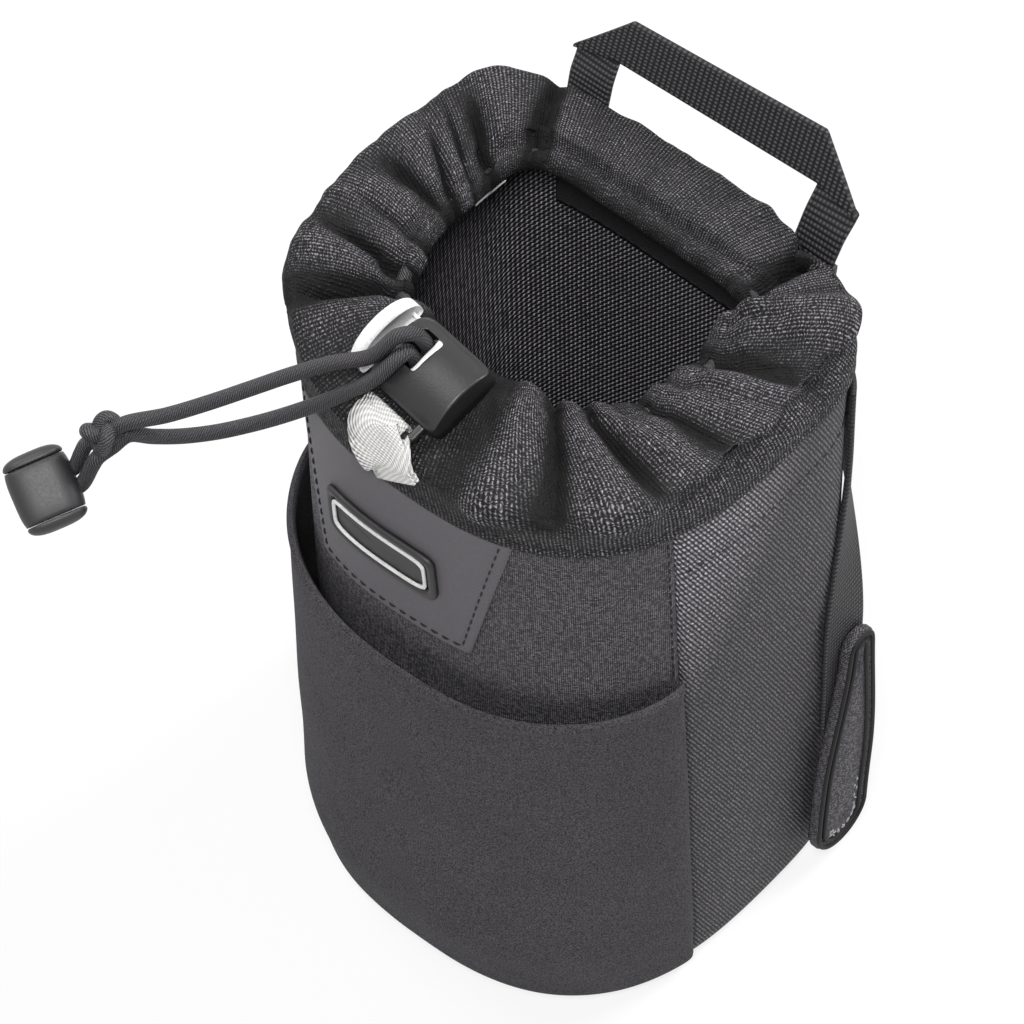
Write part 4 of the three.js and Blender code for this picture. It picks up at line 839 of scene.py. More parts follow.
def camera_and_light():
    """Camera at the photograph's angle, pale floor, three soft lamps and a white surround that only
    the camera, glossy and transmitted rays see."""
    bpy.context.scene.view_settings.view_transform = "Standard"
    heading, slope, roll = (math.radians(a) for a in (VIEW_HEADING, VIEW_SLOPE, VIEW_ROLL))
    back = np.array([math.sin(heading) * math.cos(slope), -math.cos(heading) * math.cos(slope),
                     math.sin(slope)])
    right = np.array([math.cos(heading), math.sin(heading), 0])
    up = np.cross(back, right)
    x = right * math.cos(roll) + up * math.sin(roll)
    y = up * math.cos(roll) - right * math.sin(roll)
    camera = bpy.data.objects.new("photo_camera", bpy.data.cameras.new("photo_camera"))
    camera.data.lens = LENS_LENGTH
    camera.data.clip_end = 20
    place = np.array(VIEW_TARGET) + back * VIEW_DISTANCE
    camera.matrix_world = Matrix([(x[k], y[k], back[k], place[k]) for k in range(3)] + [(0, 0, 0, 1)])
    bpy.context.scene.collection.objects.link(camera)
    bpy.context.scene.camera = camera

    for name, spot, size, power in LAMPS:
        lamp = bpy.data.lights.new(name, "AREA")
        lamp.shape = "DISK"
        lamp.size = size
        lamp.energy = power
        holder = bpy.data.objects.new(name, lamp)
        holder.location = spot
        aim = Vector(VIEW_TARGET) - Vector(spot)
        holder.rotation_euler = aim.to_track_quat("-Z", "Y").to_euler()
        bpy.context.scene.collection.objects.link(holder)

    world = bpy.data.worlds.new("studio")
    bpy.context.scene.world = world
    world.use_nodes = True
    tree = world.node_tree
    shade = tree.nodes["Background"]
    shade.inputs["Color"].default_value = (1, 1, 1, 1)
    level = add_node(tree, "MapRange", {"Value": seen_rays(tree), "To Min": SURROUND_LIGHT,
                                        "To Max": 1})
    tree.links.new(level, shade.inputs["Strength"])

    paper = bpy.data.materials.new("pale_paper")
    paper.use_nodes = True
    tree = paper.node_tree
    body = tree.nodes["Principled BSDF"]
    body.inputs["Base Color"].default_value = (0.8, 0.8, 0.8, 1)
    body.inputs["Roughness"].default_value = 0.9
    glow = add_node(tree, "Emission", {"Color": (1, 1, 1, 1)})
    amount = add_node(tree, "Math", {0: seen_rays(tree), 1: PAPER_GLOW}, operation="MULTIPLY")
    blend = add_node(tree, "MixShader", {0: amount, 1: body.outputs[0], 2: glow})
    tree.links.new(blend, tree.nodes["Material Output"].inputs["Surface"])
    mesh = bpy.data.meshes.new("floor")
    corners = [(x * FLOOR_HALF, y * FLOOR_HALF, 0) for x, y in ((-1, -1), (1, -1), (1, 1), (-1, 1))]
    mesh.from_pydata(corners, [], [(0, 1, 2, 3)])
    mesh.materials.append(paper)
    floor = bpy.data.objects.new("floor", mesh)
    bpy.context.scene.collection.objects.link(floor)


def seen_rays(tree):
    """One for camera, glossy and transmission rays, nought for the rest."""
    camera, glossy, through = (add_node(tree, "LightPath", output=f"Is {kind} Ray")
                               for kind in ("Camera", "Glossy", "Transmission"))
    first = add_node(tree, "Math", {0: camera, 1: glossy}, operation="MAXIMUM")
    return add_node(tree, "Math", {0: first, 1: through}, operation="MAXIMUM")


camera_and_light()

# Frame of the cord lock: up the collar, out of the face and along the barrel
lock_along = np.array([math.cos(math.radians(LOCK_TURN)), math.sin(math.radians(LOCK_TURN)), 0])
lock_level = np.array([-lock_along[1], lock_along[0], 0])
lock_rise = math.radians(LOCK_TILT)
lock_up = lock_level * math.cos(lock_rise) + np.array([0, 0, math.sin(lock_rise)])
lock_out = np.cross(lock_along, lock_up)
lock_face = np.array(LOCK_FACE)
lock_back = lock_face - BARREL_THICKNESS * lock_out


def lock_place(x, y, z):
    """A place in the lock's own frame: up the collar, out from its back, along the barrel."""
    x, y, z = (np.asarray(k, float)[..., None] for k in np.broadcast_arrays(x, y, z))
    return lock_back + x * lock_up + y * lock_out + z * lock_along


# Frame of the cord end: away from the knot, through and across the two cords
knot_middle = lock_face + np.array(KNOT_FROM_LOCK)
toggle_along = direction(TOGGLE_HEADING, TOGGLE_PITCH)
toggle_top = direction(TOGGLE_HEADING, TOGGLE_PITCH + 90)
toggle_across = (toggle_top * math.cos(math.radians(TOGGLE_ROLL))
                 + np.cross(toggle_along, toggle_top) * math.sin(math.radians(TOGGLE_ROLL)))
toggle_through = np.cross(toggle_across, toggle_along)
toggle_middle = knot_middle + np.array(TOGGLE_FROM_KNOT)


def toggle_place(x, y, z):
    """A place in the cord end's own frame: away from the knot, through and across the cords."""
    x, y, z = (np.asarray(k, float)[..., None] for k in np.broadcast_arrays(x, y, z))
    return toggle_middle + x * toggle_along + y * toggle_through + z * toggle_across


black_braid = braid_fabric()


def cord_route(side, bend, places, lift):
    """One strand's centreline from the lock's slot, through the knot and into the cord end."""
    x = side * STRAND_OFFSET
    tail_heading = math.degrees(math.atan2(-KNOT_FROM_LOCK[1], -KNOT_FROM_LOCK[0]))
    start = [lock_place(x, BARREL_THICKNESS / 2 + SLOT_GAP, 0), lock_place(x, BARREL_THICKNESS, 0)]
    bent = [lock_place(a, BARREL_THICKNESS + rise, z) for a, rise, z in bend]
    tail = [lock_face + np.array(place) for place in places]
    tail_end = knot_middle + KNOT_REACH * direction(tail_heading, lift)
    turn = unit(np.array(TOGGLE_FROM_KNOT) - toggle_along * TOGGLE_LENGTH / 2)
    spread = unit(toggle_across - np.dot(toggle_across, turn) * turn)
    mouth = toggle_place(-TOGGLE_LENGTH / 2, 0, x)
    stub = knot_middle + spread * x + turn * KNOT_REACH
    ends = [toggle_place(-TOGGLE_LENGTH / 2 + reach, 0, x)
            for reach in (-CLEARANCE, TOGGLE_BORE / 2, TOGGLE_BORE - CLEARANCE)]
    through = [tail_end, mix(tail_end, stub, 0.5), stub, mix(stub, mouth, 0.35)]
    return spline(np.array(start + bent + tail + through + ends), 10)


def cord_piece(name, route, **options):
    """A round cord along its centreline, with its braid's pattern run along and around it."""
    rings = carried(route, circle(CORD_DIAMETER / 2, 20), toggle_across)
    return lofted(name, rings, black_braid, **options)


def knot_piece():
    """Overhand knot: the trefoil (sin t + 2 sin 2t, cos t - 2 cos 2t, -1.5 sin 3t), scaled and turned
    to lie along the cords, with the cord's own thickness."""
    t = np.linspace(0, 2 * math.pi, 120, endpoint=False)
    line = np.stack([np.sin(t) + 2 * np.sin(2 * t), np.cos(t) - 2 * np.cos(2 * t),
                     -1.5 * np.sin(3 * t)], -1)
    line *= (KNOT_DIAMETER / 2 - CORD_DIAMETER * 0.5) / 3
    tail = unit(knot_middle - lock_face)
    side = unit(np.cross(tail, (0, 0, 1)))
    basis = np.stack([tail, side, np.cross(tail, side)])
    path = knot_middle + line @ basis
    tangent = unit(np.roll(path, -1, 0) - np.roll(path, 1, 0))
    out = unit(path - knot_middle)
    across = unit(np.cross(tangent, out))
    up = np.cross(across, tangent)
    ring = circle(CORD_DIAMETER / 2, 18)
    rings = path[:, None] + across[:, None] * ring[None, :, :1] + up[:, None] * ring[None, :, 1:]
    return lofted("cord_knot_braid", rings, black_braid, closed=True, replaces=["cord_knot"],
                  slot="cord")


def rounded_ring(half_x, half_y, power, count):
    """Rounded rectangle: a superellipse's points at even angles."""
    t = np.linspace(0, 2 * math.pi, count, endpoint=False) + math.pi / count
    reach = oval_reach(t, half_x, half_y, power)
    return np.stack([reach * np.cos(t), reach * np.sin(t)], -1)


black_moulding = moulded("black_moulding", 0.018, 0.5)
lock_moulding = moulded("lock_moulding", 0.012, 0.4, 0.00006)
white_moulding = moulded("white_moulding", 0.84, 0.35, 0.00001, PLAIN_TINT)


def toggle_pieces():
    """Moulded cord end: rounded rectangles that bulge over the band, with a cap on each side that
    shrinks as a lens, and a groove between them."""
    half = TOGGLE_BAND / 2

    def ring(scale, z):
        pair = rounded_ring(TOGGLE_LENGTH / 2 * scale, TOGGLE_HEIGHT / 2 * scale, TOGGLE_POWER, 72)
        return toggle_place(pair[:, 0], pair[:, 1], z)

    band = [ring(0.80, -half * 0.98)]
    band += [ring(0.93 + 0.07 * (1 - share**4), half * share) for share in np.linspace(-1, 1, 15)]
    band += [ring(0.80, half * 0.98)]
    body = lofted("toggle_band", np.array(band), black_moulding, replaces=["toggle_body"],
                  slot="black_plastic")
    caps = []
    start = half + CLEARANCE
    for name, side in (("left", -1), ("right", 1)):
        rings = [ring(0.90, side * start)]
        for a in np.linspace(0, math.pi / 2 * 0.94, 12):
            rise = TOGGLE_CAP_STEP + (TOGGLE_CAP_DEPTH - TOGGLE_CAP_STEP) * math.sin(a)
            rings.append(ring(0.94 * math.cos(a) ** 0.62, side * (start + rise)))
        caps.append(lofted(f"toggle_lens_{name}", np.array(rings), black_moulding,
                           replaces=[f"toggle_cap_{name}"], slot="black_plastic"))
    return [body] + caps


routes = {
    "upper": cord_route(1, UPPER_BEND, UPPER_PLACES, UPPER_LIFT),
    "lower": cord_route(-1, LOWER_BEND, LOWER_PLACES, LOWER_LIFT),
}
knot = knot_piece()
toggle = toggle_pieces()
for side_name, route in routes.items():
    strand = cord_piece(f"free_cord_{side_name}", route, slot="cord",
                        replaces=[f"cord_tail_{side_name}", f"cord_stub_{side_name}"])


def lock_barrel():
    """Arched barrel around its slot: rings run from the slot's wall over the arch
    y = side + (thickness - side) sqrt(1 - X^2) to the rounded outline, down its sides and back."""
    count = 112
    slot = rounded_ring(*SLOT_HALF, 8, count) + np.array([0, SLOT_MIDDLE])
    half_x, half_z = BARREL_WIDTH / 2, (BARREL_END - BARREL_START) / 2
    middle = np.array([BARREL_MIDDLE, (BARREL_END + BARREL_START) / 2])
    edge = rounded_ring(half_x, half_z, 9, count) + middle

    def arch(pairs):
        share = np.clip((pairs[:, 0] - BARREL_MIDDLE) / half_x, -1, 1)
        return BARREL_SIDE + (BARREL_THICKNESS - BARREL_SIDE) * np.sqrt(1 - share**2)

    rings = []
    slot_lip, rim = 0.0006, 0.0008
    outward = unit(slot - np.array([0, SLOT_MIDDLE]))
    for rise in (0.0, 0.35, 0.7):
        rings.append((slot, (arch(slot) - slot_lip) * rise + CLEARANCE))
    for a in np.linspace(0, math.pi / 2, 5):
        pairs = slot + outward * slot_lip * (1 - math.cos(a))
        rings.append((pairs, arch(pairs) - slot_lip * (1 - math.sin(a))))
    inner = slot + outward * slot_lip
    outer_way = unit(edge - middle)
    shoulder = edge - outer_way * rim
    for share in np.linspace(0.1, 1, 12):
        pairs = mix(inner, shoulder, share)
        rings.append((pairs, arch(pairs)))
    for a in np.linspace(0.2, math.pi / 2, 5):
        pairs = shoulder + outer_way * rim * math.sin(a)
        rings.append((pairs, arch(shoulder) - rim * (1 - math.cos(a))))
    for share in (0.5, 0.0):
        rings.append((edge, (arch(shoulder) - rim) * share))
    rings.append((mix(edge, slot, 0.5), np.zeros(count)))
    places = np.array([lock_place(pairs[:, 0], height, pairs[:, 1]) for pairs, height in rings])
    lofted("lock_barrel_shell", places, lock_moulding, closed=True, replaces=["lock_barrel"],
           slot="black_plastic")


def lock_loop():
    """Flat loop on the barrel's lower edge that carries the tether: a rod with a rounded section
    carried round three sides."""
    half = TETHER_WIDTH / 2 + CLEARANCE + 0.0012
    x = (LOOP_INNER + LOOP_OUTER) / 2
    rise = (LOOP_BOTTOM + LOOP_TOP) / 2
    corner = 0.0014
    base = BARREL_MIDDLE - BARREL_WIDTH / 2 + 0.001
    bend = corner * 0.3
    places = [(base, -half), ((base + x) / 2, -half), (x + corner, -half), (x + bend, -half + bend),
              (x, -half + corner), (x, 0), (x, half - corner), (x + bend, half - bend),
              (x + corner, half), ((base + x) / 2, half), (base, half)]
    path = spline(np.array([lock_place(a, rise, TETHER_MIDDLE + b) for a, b in places]), 6)
    profile = rounded_ring((LOOP_TOP - LOOP_BOTTOM) / 2, (LOOP_INNER - LOOP_OUTER) / 2, 4, 20)
    rings = carried(path, profile, lock_out)
    lofted("lock_tether_bar", rings, lock_moulding, slot="black_plastic")


def arch_outline(half, low, high, count):
    """Outline of the lock's section: a half ellipse above the side height, nearly flat below."""
    t = np.linspace(0, 2 * math.pi, count, endpoint=False)
    upper = np.sin(t) >= 0
    c, s = np.cos(t), np.sin(t)
    x = np.where(upper, c, np.sign(c) * np.abs(c) ** 0.45) * half
    y = np.where(upper, low + (high - low) * np.abs(s), low - low * np.abs(s) ** 0.45)
    return np.stack([x, y], -1)


def lock_button():
    """White push button: the lock's section with rounded edges and a dished outer end, and a
    U-shaped bar that reaches into the slot."""
    outline = arch_outline(BARREL_WIDTH / 2, BARREL_SIDE, BARREL_THICKNESS, 96)
    centre = np.array([0, 0.0042])
    edge, dish = 0.0013, 0.0012

    def ring(scale, z):
        pairs = centre + (outline - centre) * scale
        return lock_place(BARREL_MIDDLE + pairs[:, 0], pairs[:, 1], z)

    rings = []
    for a in np.linspace(0.15, math.pi / 2, 5):
        rings.append(ring(0.93 + 0.07 * math.sin(a), BUTTON_END - edge * 0.5 * (1 - math.sin(a))))
    for a in np.linspace(math.pi / 2, 0.0, 7):
        rings.append(ring(0.84 + 0.16 * math.sin(a), BUTTON_START + edge * (1 - math.cos(a))))
    for share in np.linspace(0, 1, 9)[1:]:
        deep = dish * math.sin(math.pi / 2 * share) ** 0.8
        rings.append(ring(mix(0.84, 0.08, share), BUTTON_START + deep))
    lofted("lock_push_button", np.array(rings), white_moulding, body="lock_button",
           replaces=["lock_button"], slot="white_plastic")
    rail = STEM_HALF - 0.0009
    bar = STEM_END - 0.0011
    corner = 0.0012
    start = BUTTON_END + 0.0004
    places = [(-rail, start), (-rail, (BUTTON_END + bar) / 2), (-rail, bar - corner),
              (-rail + corner, bar), (0, bar), (rail - corner, bar), (rail, bar - corner),
              (rail, (BUTTON_END + bar) / 2), (rail, start)]
    low, high = BARREL_SIDE + STEM_BOTTOM / 2, BARREL_THICKNESS / 2
    levels = (low, low, low, high, high, high, low, low, low)
    path = spline(np.array([lock_place(a, y, b) for (a, b), y in zip(places, levels)]), 6)
    level = np.interp(np.linspace(0, 1, len(path)), np.linspace(0, 1, len(levels)), levels)
    share = np.clip((level - low) / (high - low), 0, 1)
    profile = rounded_ring((STEM_TOP - STEM_BOTTOM) / 2, 0.0011, 5, 24)
    rings = carried(path, profile, lock_out, mix(0.5, 1, share))
    lofted("lock_button_bar", rings, white_moulding, body="lock_button", slot="white_plastic")


def lock_spring():
    """Coil between the bar and the bore's end: a helix."""
    turns, radius, wire = 7, 0.00155, 0.0005
    end = BARREL_END - 0.0036
    t = np.linspace(0, 1, turns * 20)
    angle = 2 * math.pi * turns * t
    z = mix(STEM_END + 0.0006, end, t)
    path = lock_place(radius * np.cos(angle), BARREL_THICKNESS / 2 + radius * np.sin(angle), z)
    steel = moulded("spring_wire", 0.45, 0.3, 0.000005, PLAIN_TINT, Metallic=1.0)
    coil = lofted("lock_coil", carried(path, circle(wire / 2, 8), lock_along), steel,
                  replaces=["lock_spring"], slot="spring_steel")
    far_end = lock_place(0.0, BARREL_THICKNESS / 2, end)
    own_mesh(coil)


def tether_strip():
    """Doubled elastic strip from the hem around the lock's bar: a ribbon carried along its path, its
    width turning from the hem's direction to the lock's."""
    bar_middle = (LOOP_INNER + LOOP_OUTER) / 2
    gap, half = 0.0005, TETHER_THICKNESS / 2
    reach = (LOOP_INNER - LOOP_OUTER) / 2 + gap + half
    bar_y = (LOOP_BOTTOM + LOOP_TOP) / 2
    top_y = LOOP_TOP + gap + half
    low_y = 2 * bar_y - top_y
    corner = math.sqrt(0.5)
    corner_x = bar_middle + mix((LOOP_INNER - LOOP_OUTER) / 2, reach, corner)
    corner_y = mix((LOOP_TOP - LOOP_BOTTOM) / 2, top_y - bar_y, corner)
    shoulder, lift = 0.0034, 0.001
    layers = (COLLAR_OUT + gap + half, COLLAR_OUT + gap + TETHER_THICKNESS + CLEARANCE + half)
    rises = (0.0078, 0.0102, 0.0126)

    def foot(rise, out):
        drift = smooth(rise, 0, COLLAR_TOP - RIM_HEIGHT) * (LOCK_FACE[0] - TETHER_FOOT) / 2
        return face_point(TETHER_FOOT + drift, HEM_BOTTOM + rise, out)

    places = [foot(rise, layers[1]) for rise in rises] + [
        lock_place(bar_middle - shoulder, top_y, TETHER_MIDDLE),
        lock_place(bar_middle, top_y, TETHER_MIDDLE),
        lock_place(corner_x, bar_y + corner_y, TETHER_MIDDLE),
        lock_place(bar_middle + reach, bar_y, TETHER_MIDDLE),
        lock_place(corner_x, bar_y - corner_y, TETHER_MIDDLE),
        lock_place(bar_middle, low_y, TETHER_MIDDLE),
        lock_place(bar_middle - shoulder, low_y + lift, TETHER_MIDDLE),
    ] + [foot(rise, layers[0]) for rise in rises[::-1]]
    path = spline(np.array(places), 12)
    run = distance_along(path)
    share = run / run[-1]
    turn = smooth(np.minimum(share, 1 - share), 0.1, 0.35)[:, None]
    side = mix(np.array([1.0, 0, 0]), lock_along, turn)
    profile = rounded_ring(TETHER_WIDTH / 2, half, 5, 64)
    rings = carried(path, profile, side)
    lofted("tether_tape", rings, tape_fabric(), replaces=["lock_tether"], slot="white_elastic")


def corner_rows(start, end, upper):
    """Heights of a wall's rows, close together in the rounded base corner."""
    a = np.linspace(0, math.pi / 2, 10)
    low = BASE_CORNER * (1 - np.cos(a))
    low = low[low > start + CLEARANCE]
    return np.concatenate([[start], low, np.linspace(low[-1], end, upper + 1)[1:]])


def seam_pull(share, width, reach=0.0022, depth=0.0009):
    """Depth that a seam draws a padded wall in, near both side edges: depth (1 - d/reach)^2."""
    distance = np.minimum(share, 1 - share) * width
    return depth * np.clip(1 - distance / reach, 0, 1) ** 2


def wall_edges(name):
    """Angles of a wall's two side seams at a height."""
    back = math.radians(BACK_SEAM_ANGLE)
    gap = SEAM_GAP_ANGLE
    return {
        "front": (lambda h: -math.pi - seam_angle(h) + gap, lambda h: seam_angle(h) - gap),
        "right": (lambda h: seam_angle(h) + gap, lambda h: back - gap + 0 * h),
        "back": (lambda h: back + gap + 0 * h, lambda h: math.pi - back - gap + 0 * h),
        "left": (lambda h: math.pi - back + gap + 0 * h, lambda h: math.pi - seam_angle(h) - gap),
    }[name]


def padded_wall(name, columns, finish, slot):
    """A wall's outer fabric over its foam, between two seams: the body's wall with its edges drawn
    in and a slight unevenness. Its columns are closer together beside the seams."""
    heights = corner_rows(PANEL_LIFT, WALL_TOP, 70)
    shares = np.linspace(0, 1, columns)
    shares = 0.5 - 0.5 * np.cos(math.pi * shares) * (1 - 0.35 * np.sin(math.pi * shares) ** 2)
    share, height = np.meshgrid(shares, heights, indexing="ij")
    start, end = wall_edges(name)
    angle = mix(start(height), end(height), share)
    width = np.linalg.norm(np.diff(wall(angle, height, 0), axis=0), axis=-1).sum(0).mean()
    uneven = WALL_UNEVEN * lattice_noise(share * width * 60 + 5, height * 45, len(name))
    pull = seam_pull(share, width)
    if name in ("right", "left"):
        away = (height - SIDE_STITCH_HEIGHT) / SIDE_STITCH_PULL / 2
        pull = pull + SIDE_STITCH_PULL * np.exp(-away ** 2)
    fade = smooth(height, PANEL_LIFT, 0.012)
    outer = wall(angle, height, (uneven - WALL_UNEVEN) * fade - pull * fade)
    inner = wall(angle, height, -PADDING)
    piece = shell(f"{name}_wall", outer, inner, finish, slot=slot,
                  replaces=[f"{name}_panel", f"{name}_foam"])


def base_piece(finish):
    """Flat outer fabric of the base, inside the wall's rounded corner."""
    angle = np.linspace(0, 2 * math.pi, 160, endpoint=False)
    rings = []
    for height, inset in BASE_STEPS:
        points = wall(angle, np.full_like(angle, BASE_CORNER), -inset)
        points[:, 2] = height
        rings.append(points)
    lofted("base_cloth", np.array(rings), finish, replaces=["base_panel"], slot="outer_fabric")


def lining_pieces(finish):
    """Lining: the wall's section drawn in by its padding, uneven on the inside, and a thin floor."""
    angle = np.linspace(0, 2 * math.pi, 220, endpoint=False)
    heights = np.linspace(LINING_FOOT, WALL_TOP - CLEARANCE, 60)
    a, h = np.meshgrid(angle, heights, indexing="ij")
    uneven = 0.0004 * lattice_noise(a * 14 / (2 * math.pi) * 2, h * 50, 3)
    outer = wall(a, h, -LINING_OUTER)
    inner = wall(a, h, -LINING_INNER - np.abs(uneven) * 0.8)
    shell("wall_cloth_inside", outer, inner, finish, around=True, replaces=["wall_lining"],
          slot="lining")
    rings = []
    for scale, height in FLOOR_STEPS:
        points = wall(angle, np.full_like(angle, FLOOR_LEVEL), -LINING_OUTER)
        points = points * np.array([scale, scale, 1])
        points[:, 2] = height
        rings.append(points)
    lofted("base_cloth_inside", np.array(rings), finish, slot="lining",
           replaces=["base_lining", "base_foam"])


def pocket_space(share, height):
    """Space between the front wall and the pocket: it swells from the base and narrows to the seams."""
    fill = smooth(height, 0, POCKET_FILL_HEIGHT)
    draw = smooth(height, POCKET_MOUTH_HEIGHT / 2, POCKET_MOUTH_HEIGHT)
    edge = np.clip(np.sin(math.pi * share), 0, 1) ** 0.45
    return CLEARANCE + (mix(POCKET_BULGE, POCKET_MOUTH_GAP, draw) - CLEARANCE) * fill * edge


def pocket_piece(finish):
    """Stretch pocket: the front wall moved out by a space that swells from the base, with the
    thickness of the cloth and a round rolled mouth."""
    turn = np.linspace(0.6, math.pi / 2, 7)
    levels = np.concatenate([[POCKET_LIFT], BASE_CORNER * (1 - np.cos(turn))])
    shares = 0.5 - 0.5 * np.cos(math.pi * np.linspace(0, 1, 130))
    shares = mix(shares, np.linspace(0, 1, 130), 0.6)
    rise = np.linspace(0, 1, 80)
    mouth = POCKET_MOUTH_HEIGHT - POCKET_MOUTH_SAG * np.sin(math.pi * shares)
    height = np.concatenate([
        np.broadcast_to(levels[:, None], (len(levels), len(shares))),
        BASE_CORNER + rise[1:, None] * (mouth - BASE_CORNER)[None],
    ]).T
    share = np.broadcast_to(shares[:, None], height.shape)
    start, end = wall_edges("front")
    angle = mix(start(height), end(height), share)
    space = pocket_space(share, height)
    round_edge = rounded(np.minimum(share, 1 - share) / 0.02)
    level = (height - BASE_CORNER) / (mouth[:, None] - BASE_CORNER)
    away = (1 - level) * (POCKET_MOUTH_HEIGHT - BASE_CORNER)
    roll = sum(rise * np.exp(-((away - place) / spread) ** 2) for rise, place, spread in POCKET_ROLLS)
    lip = rounded(away / 0.0014)
    slack = 0.0003 * lattice_noise(share * 9, height * 40, 12)
    thick = POCKET_THICKNESS * mix(0.45, 1, round_edge)
    centre = space + thick / 2
    swell = mix(0.05, 1, lip)
    outer = wall(angle, height, centre + (thick / 2 + roll) * swell + slack * round_edge)
    inner = wall(angle, height, centre - (thick / 2) * swell + np.minimum(slack, 0) * round_edge)
    shell("stretch_pocket_cloth", outer, inner, finish, replaces=["stretch_pocket"],
          slot="stretch_fabric")


def patch_place(share, level, out):
    """Places on the name patch, from shares of its width and height, moved out from the wall."""
    width = mix(PATCH_BOTTOM_WIDTH, PATCH_TOP_WIDTH, level)
    skew = PATCH_SKEW * (2 * share - 1) * (1 - level)
    height = mix(PATCH_BOTTOM, HEM_BOTTOM - CLEARANCE, level) + skew
    return face_point(PATCH_CENTRE + width * (share - 0.5), height, out)


def patch_piece(finish):
    """Name patch: a trapezium on the front wall, a little thicker in the middle than at its edges."""
    share, level = np.meshgrid(np.linspace(0, 1, 60), np.linspace(0, 1, 44), indexing="ij")
    middle_width, tall = (PATCH_BOTTOM_WIDTH + PATCH_TOP_WIDTH) / 2, HEM_BOTTOM - PATCH_BOTTOM
    edge = np.minimum(np.minimum(share, 1 - share) * middle_width, level * tall)
    round_edge = rounded(edge / PATCH_ROUNDING)
    stitched = np.exp(-((edge - PATCH_STITCH) / 0.0009) ** 2) * 0.0003
    thick = PATCH_THICKNESS * mix(0.45, 1.0, round_edge)
    outer = patch_place(share, level, CLEARANCE + thick - stitched)
    shell("name_patch_cloth", outer, patch_place(share, level, CLEARANCE), finish,
          replaces=["name_patch"], slot="patch_fabric")
    side, upper = PATCH_STITCH / PATCH_STITCH_WIDTH, PATCH_STITCH / PATCH_TOP_WIDTH
    foot = PATCH_STITCH / tall
    line = [(upper, 0.98), (side, foot), (1 - side, foot), (1 - upper, 0.98)]
    rows = []
    for (share0, level0), (share1, level1) in zip(line, line[1:]):
        shares, levels = np.linspace(share0, share1, 40), np.linspace(level0, level1, 40)
        low = patch_place(shares, levels, CLEARANCE + PATCH_THICKNESS)
        rows.append((low, patch_place(shares, levels, 0.002) - low))
    stitches("name_patch_stitching", rows, black_thread)


def badge_place(pairs, out):
    """Places on the badge, along and up from its middle, lying on the patch."""
    turn = math.radians(BADGE_TILT)
    x = BADGE_CENTRE[0] + pairs[..., 0] * math.cos(turn) - pairs[..., 1] * math.sin(turn)
    height = BADGE_CENTRE[1] + pairs[..., 0] * math.sin(turn) + pairs[..., 1] * math.cos(turn)
    return face_point(x, height, 2 * CLEARANCE + PATCH_THICKNESS + out)


def badge_rings(width, height, steps, power=9):
    """Rings of rounded rectangles on the badge, each with an inset and a lift off the patch."""
    return np.array([badge_place(rounded_ring(width / 2 - inset, height / 2 - inset, power, 120),
                                 np.full(120, lift)) for inset, lift in steps])


def badge_pieces():
    """Moulded badge: a bevelled frame, a pale rounded line and a bare plate."""
    b, t = BADGE_BORDER, BADGE_THICKNESS
    frame_steps = [(0, 0.0), (0, t * 0.55), (b * 0.12, t * 0.85), (b * 0.34, t), (b * 0.6, t),
                   (b * 0.8, t * 0.86), (b * 0.97, t * 0.55), (b, t * 0.3), (b, 0.0)]
    rubber = moulded("badge_black_rubber", 0.012, 0.5, 0.00002)
    pale = moulded("badge_pale_line", 0.6, 0.5, 0.00001, PLAIN_TINT)
    lofted("badge_raised_frame", badge_rings(BADGE_WIDTH, BADGE_HEIGHT, frame_steps), rubber,
           closed=True, replaces=["badge_frame"], slot="badge_rubber")
    w = BADGE_WIDTH - 2 * b - 2 * CLEARANCE
    h = BADGE_HEIGHT - 2 * b - 2 * CLEARANCE
    low, high = RIM_LINE_THICKNESS + CLEARANCE, 2 * RIM_LINE_THICKNESS + CLEARANCE
    line, shoulder, top = RIM_LINE_WIDTH, mix(low, high, 0.6), RIM_LINE_THICKNESS
    line_steps = [(0, low), (0, shoulder), (line * 0.25, high), (line * 0.75, high), (line, shoulder),
                  (line, low)]
    lofted("badge_line", badge_rings(w, h, line_steps, 7), pale, closed=True, replaces=["badge_rim"],
           slot="badge_line")
    plate_steps = [(h * 0.49, 0.0), (h * 0.25, 0.0), (0, 0.0), (0, 0.0005), (0.0002, top),
                   (0.001, top), (h * 0.25, top), (h * 0.49, top)]
    plate = moulded("badge_plate_rubber", 0.02, 0.6, 0.00002)
    lofted("badge_bare_plate", badge_rings(w, h, plate_steps, 7), plate, replaces=["badge_plate"],
           slot="badge_rubber")


def mouth_point(angle):
    """Point of the mouth's edge at an angle about its own middle."""
    front = np.sin(angle) < 0
    depth = np.where(front, MOUTH_FRONT, MOUTH_BACK)
    power = np.where(front, MOUTH_FRONT_POWER, MOUTH_BACK_POWER)
    reach = oval_reach(angle, MOUTH_WIDTH / 2, depth, power)
    return np.stack([MOUTH_CENTRE[0] + reach * np.cos(angle), MOUTH_CENTRE[1] + reach * np.sin(angle),
                     np.full_like(angle, RIM_HEIGHT)], -1)


def collar_lines(angle):
    """Foot on the wall, unit direction in towards the mouth, and the distance between them."""
    foot = wall(angle, np.full_like(angle, RIM_HEIGHT), 0)
    inward = mouth_point(angle) - foot
    width = np.linalg.norm(inward, axis=-1)
    return foot, inward / width[:, None], width


def pressed(angle):
    """One where the cord lock presses the collar down, nought beyond the reach of its press."""
    middle = math.atan2(LOCK_FACE[1], LOCK_FACE[0])
    return 1 - smooth(np.degrees(angle_between(angle, middle)), *PRESSED_REACH)


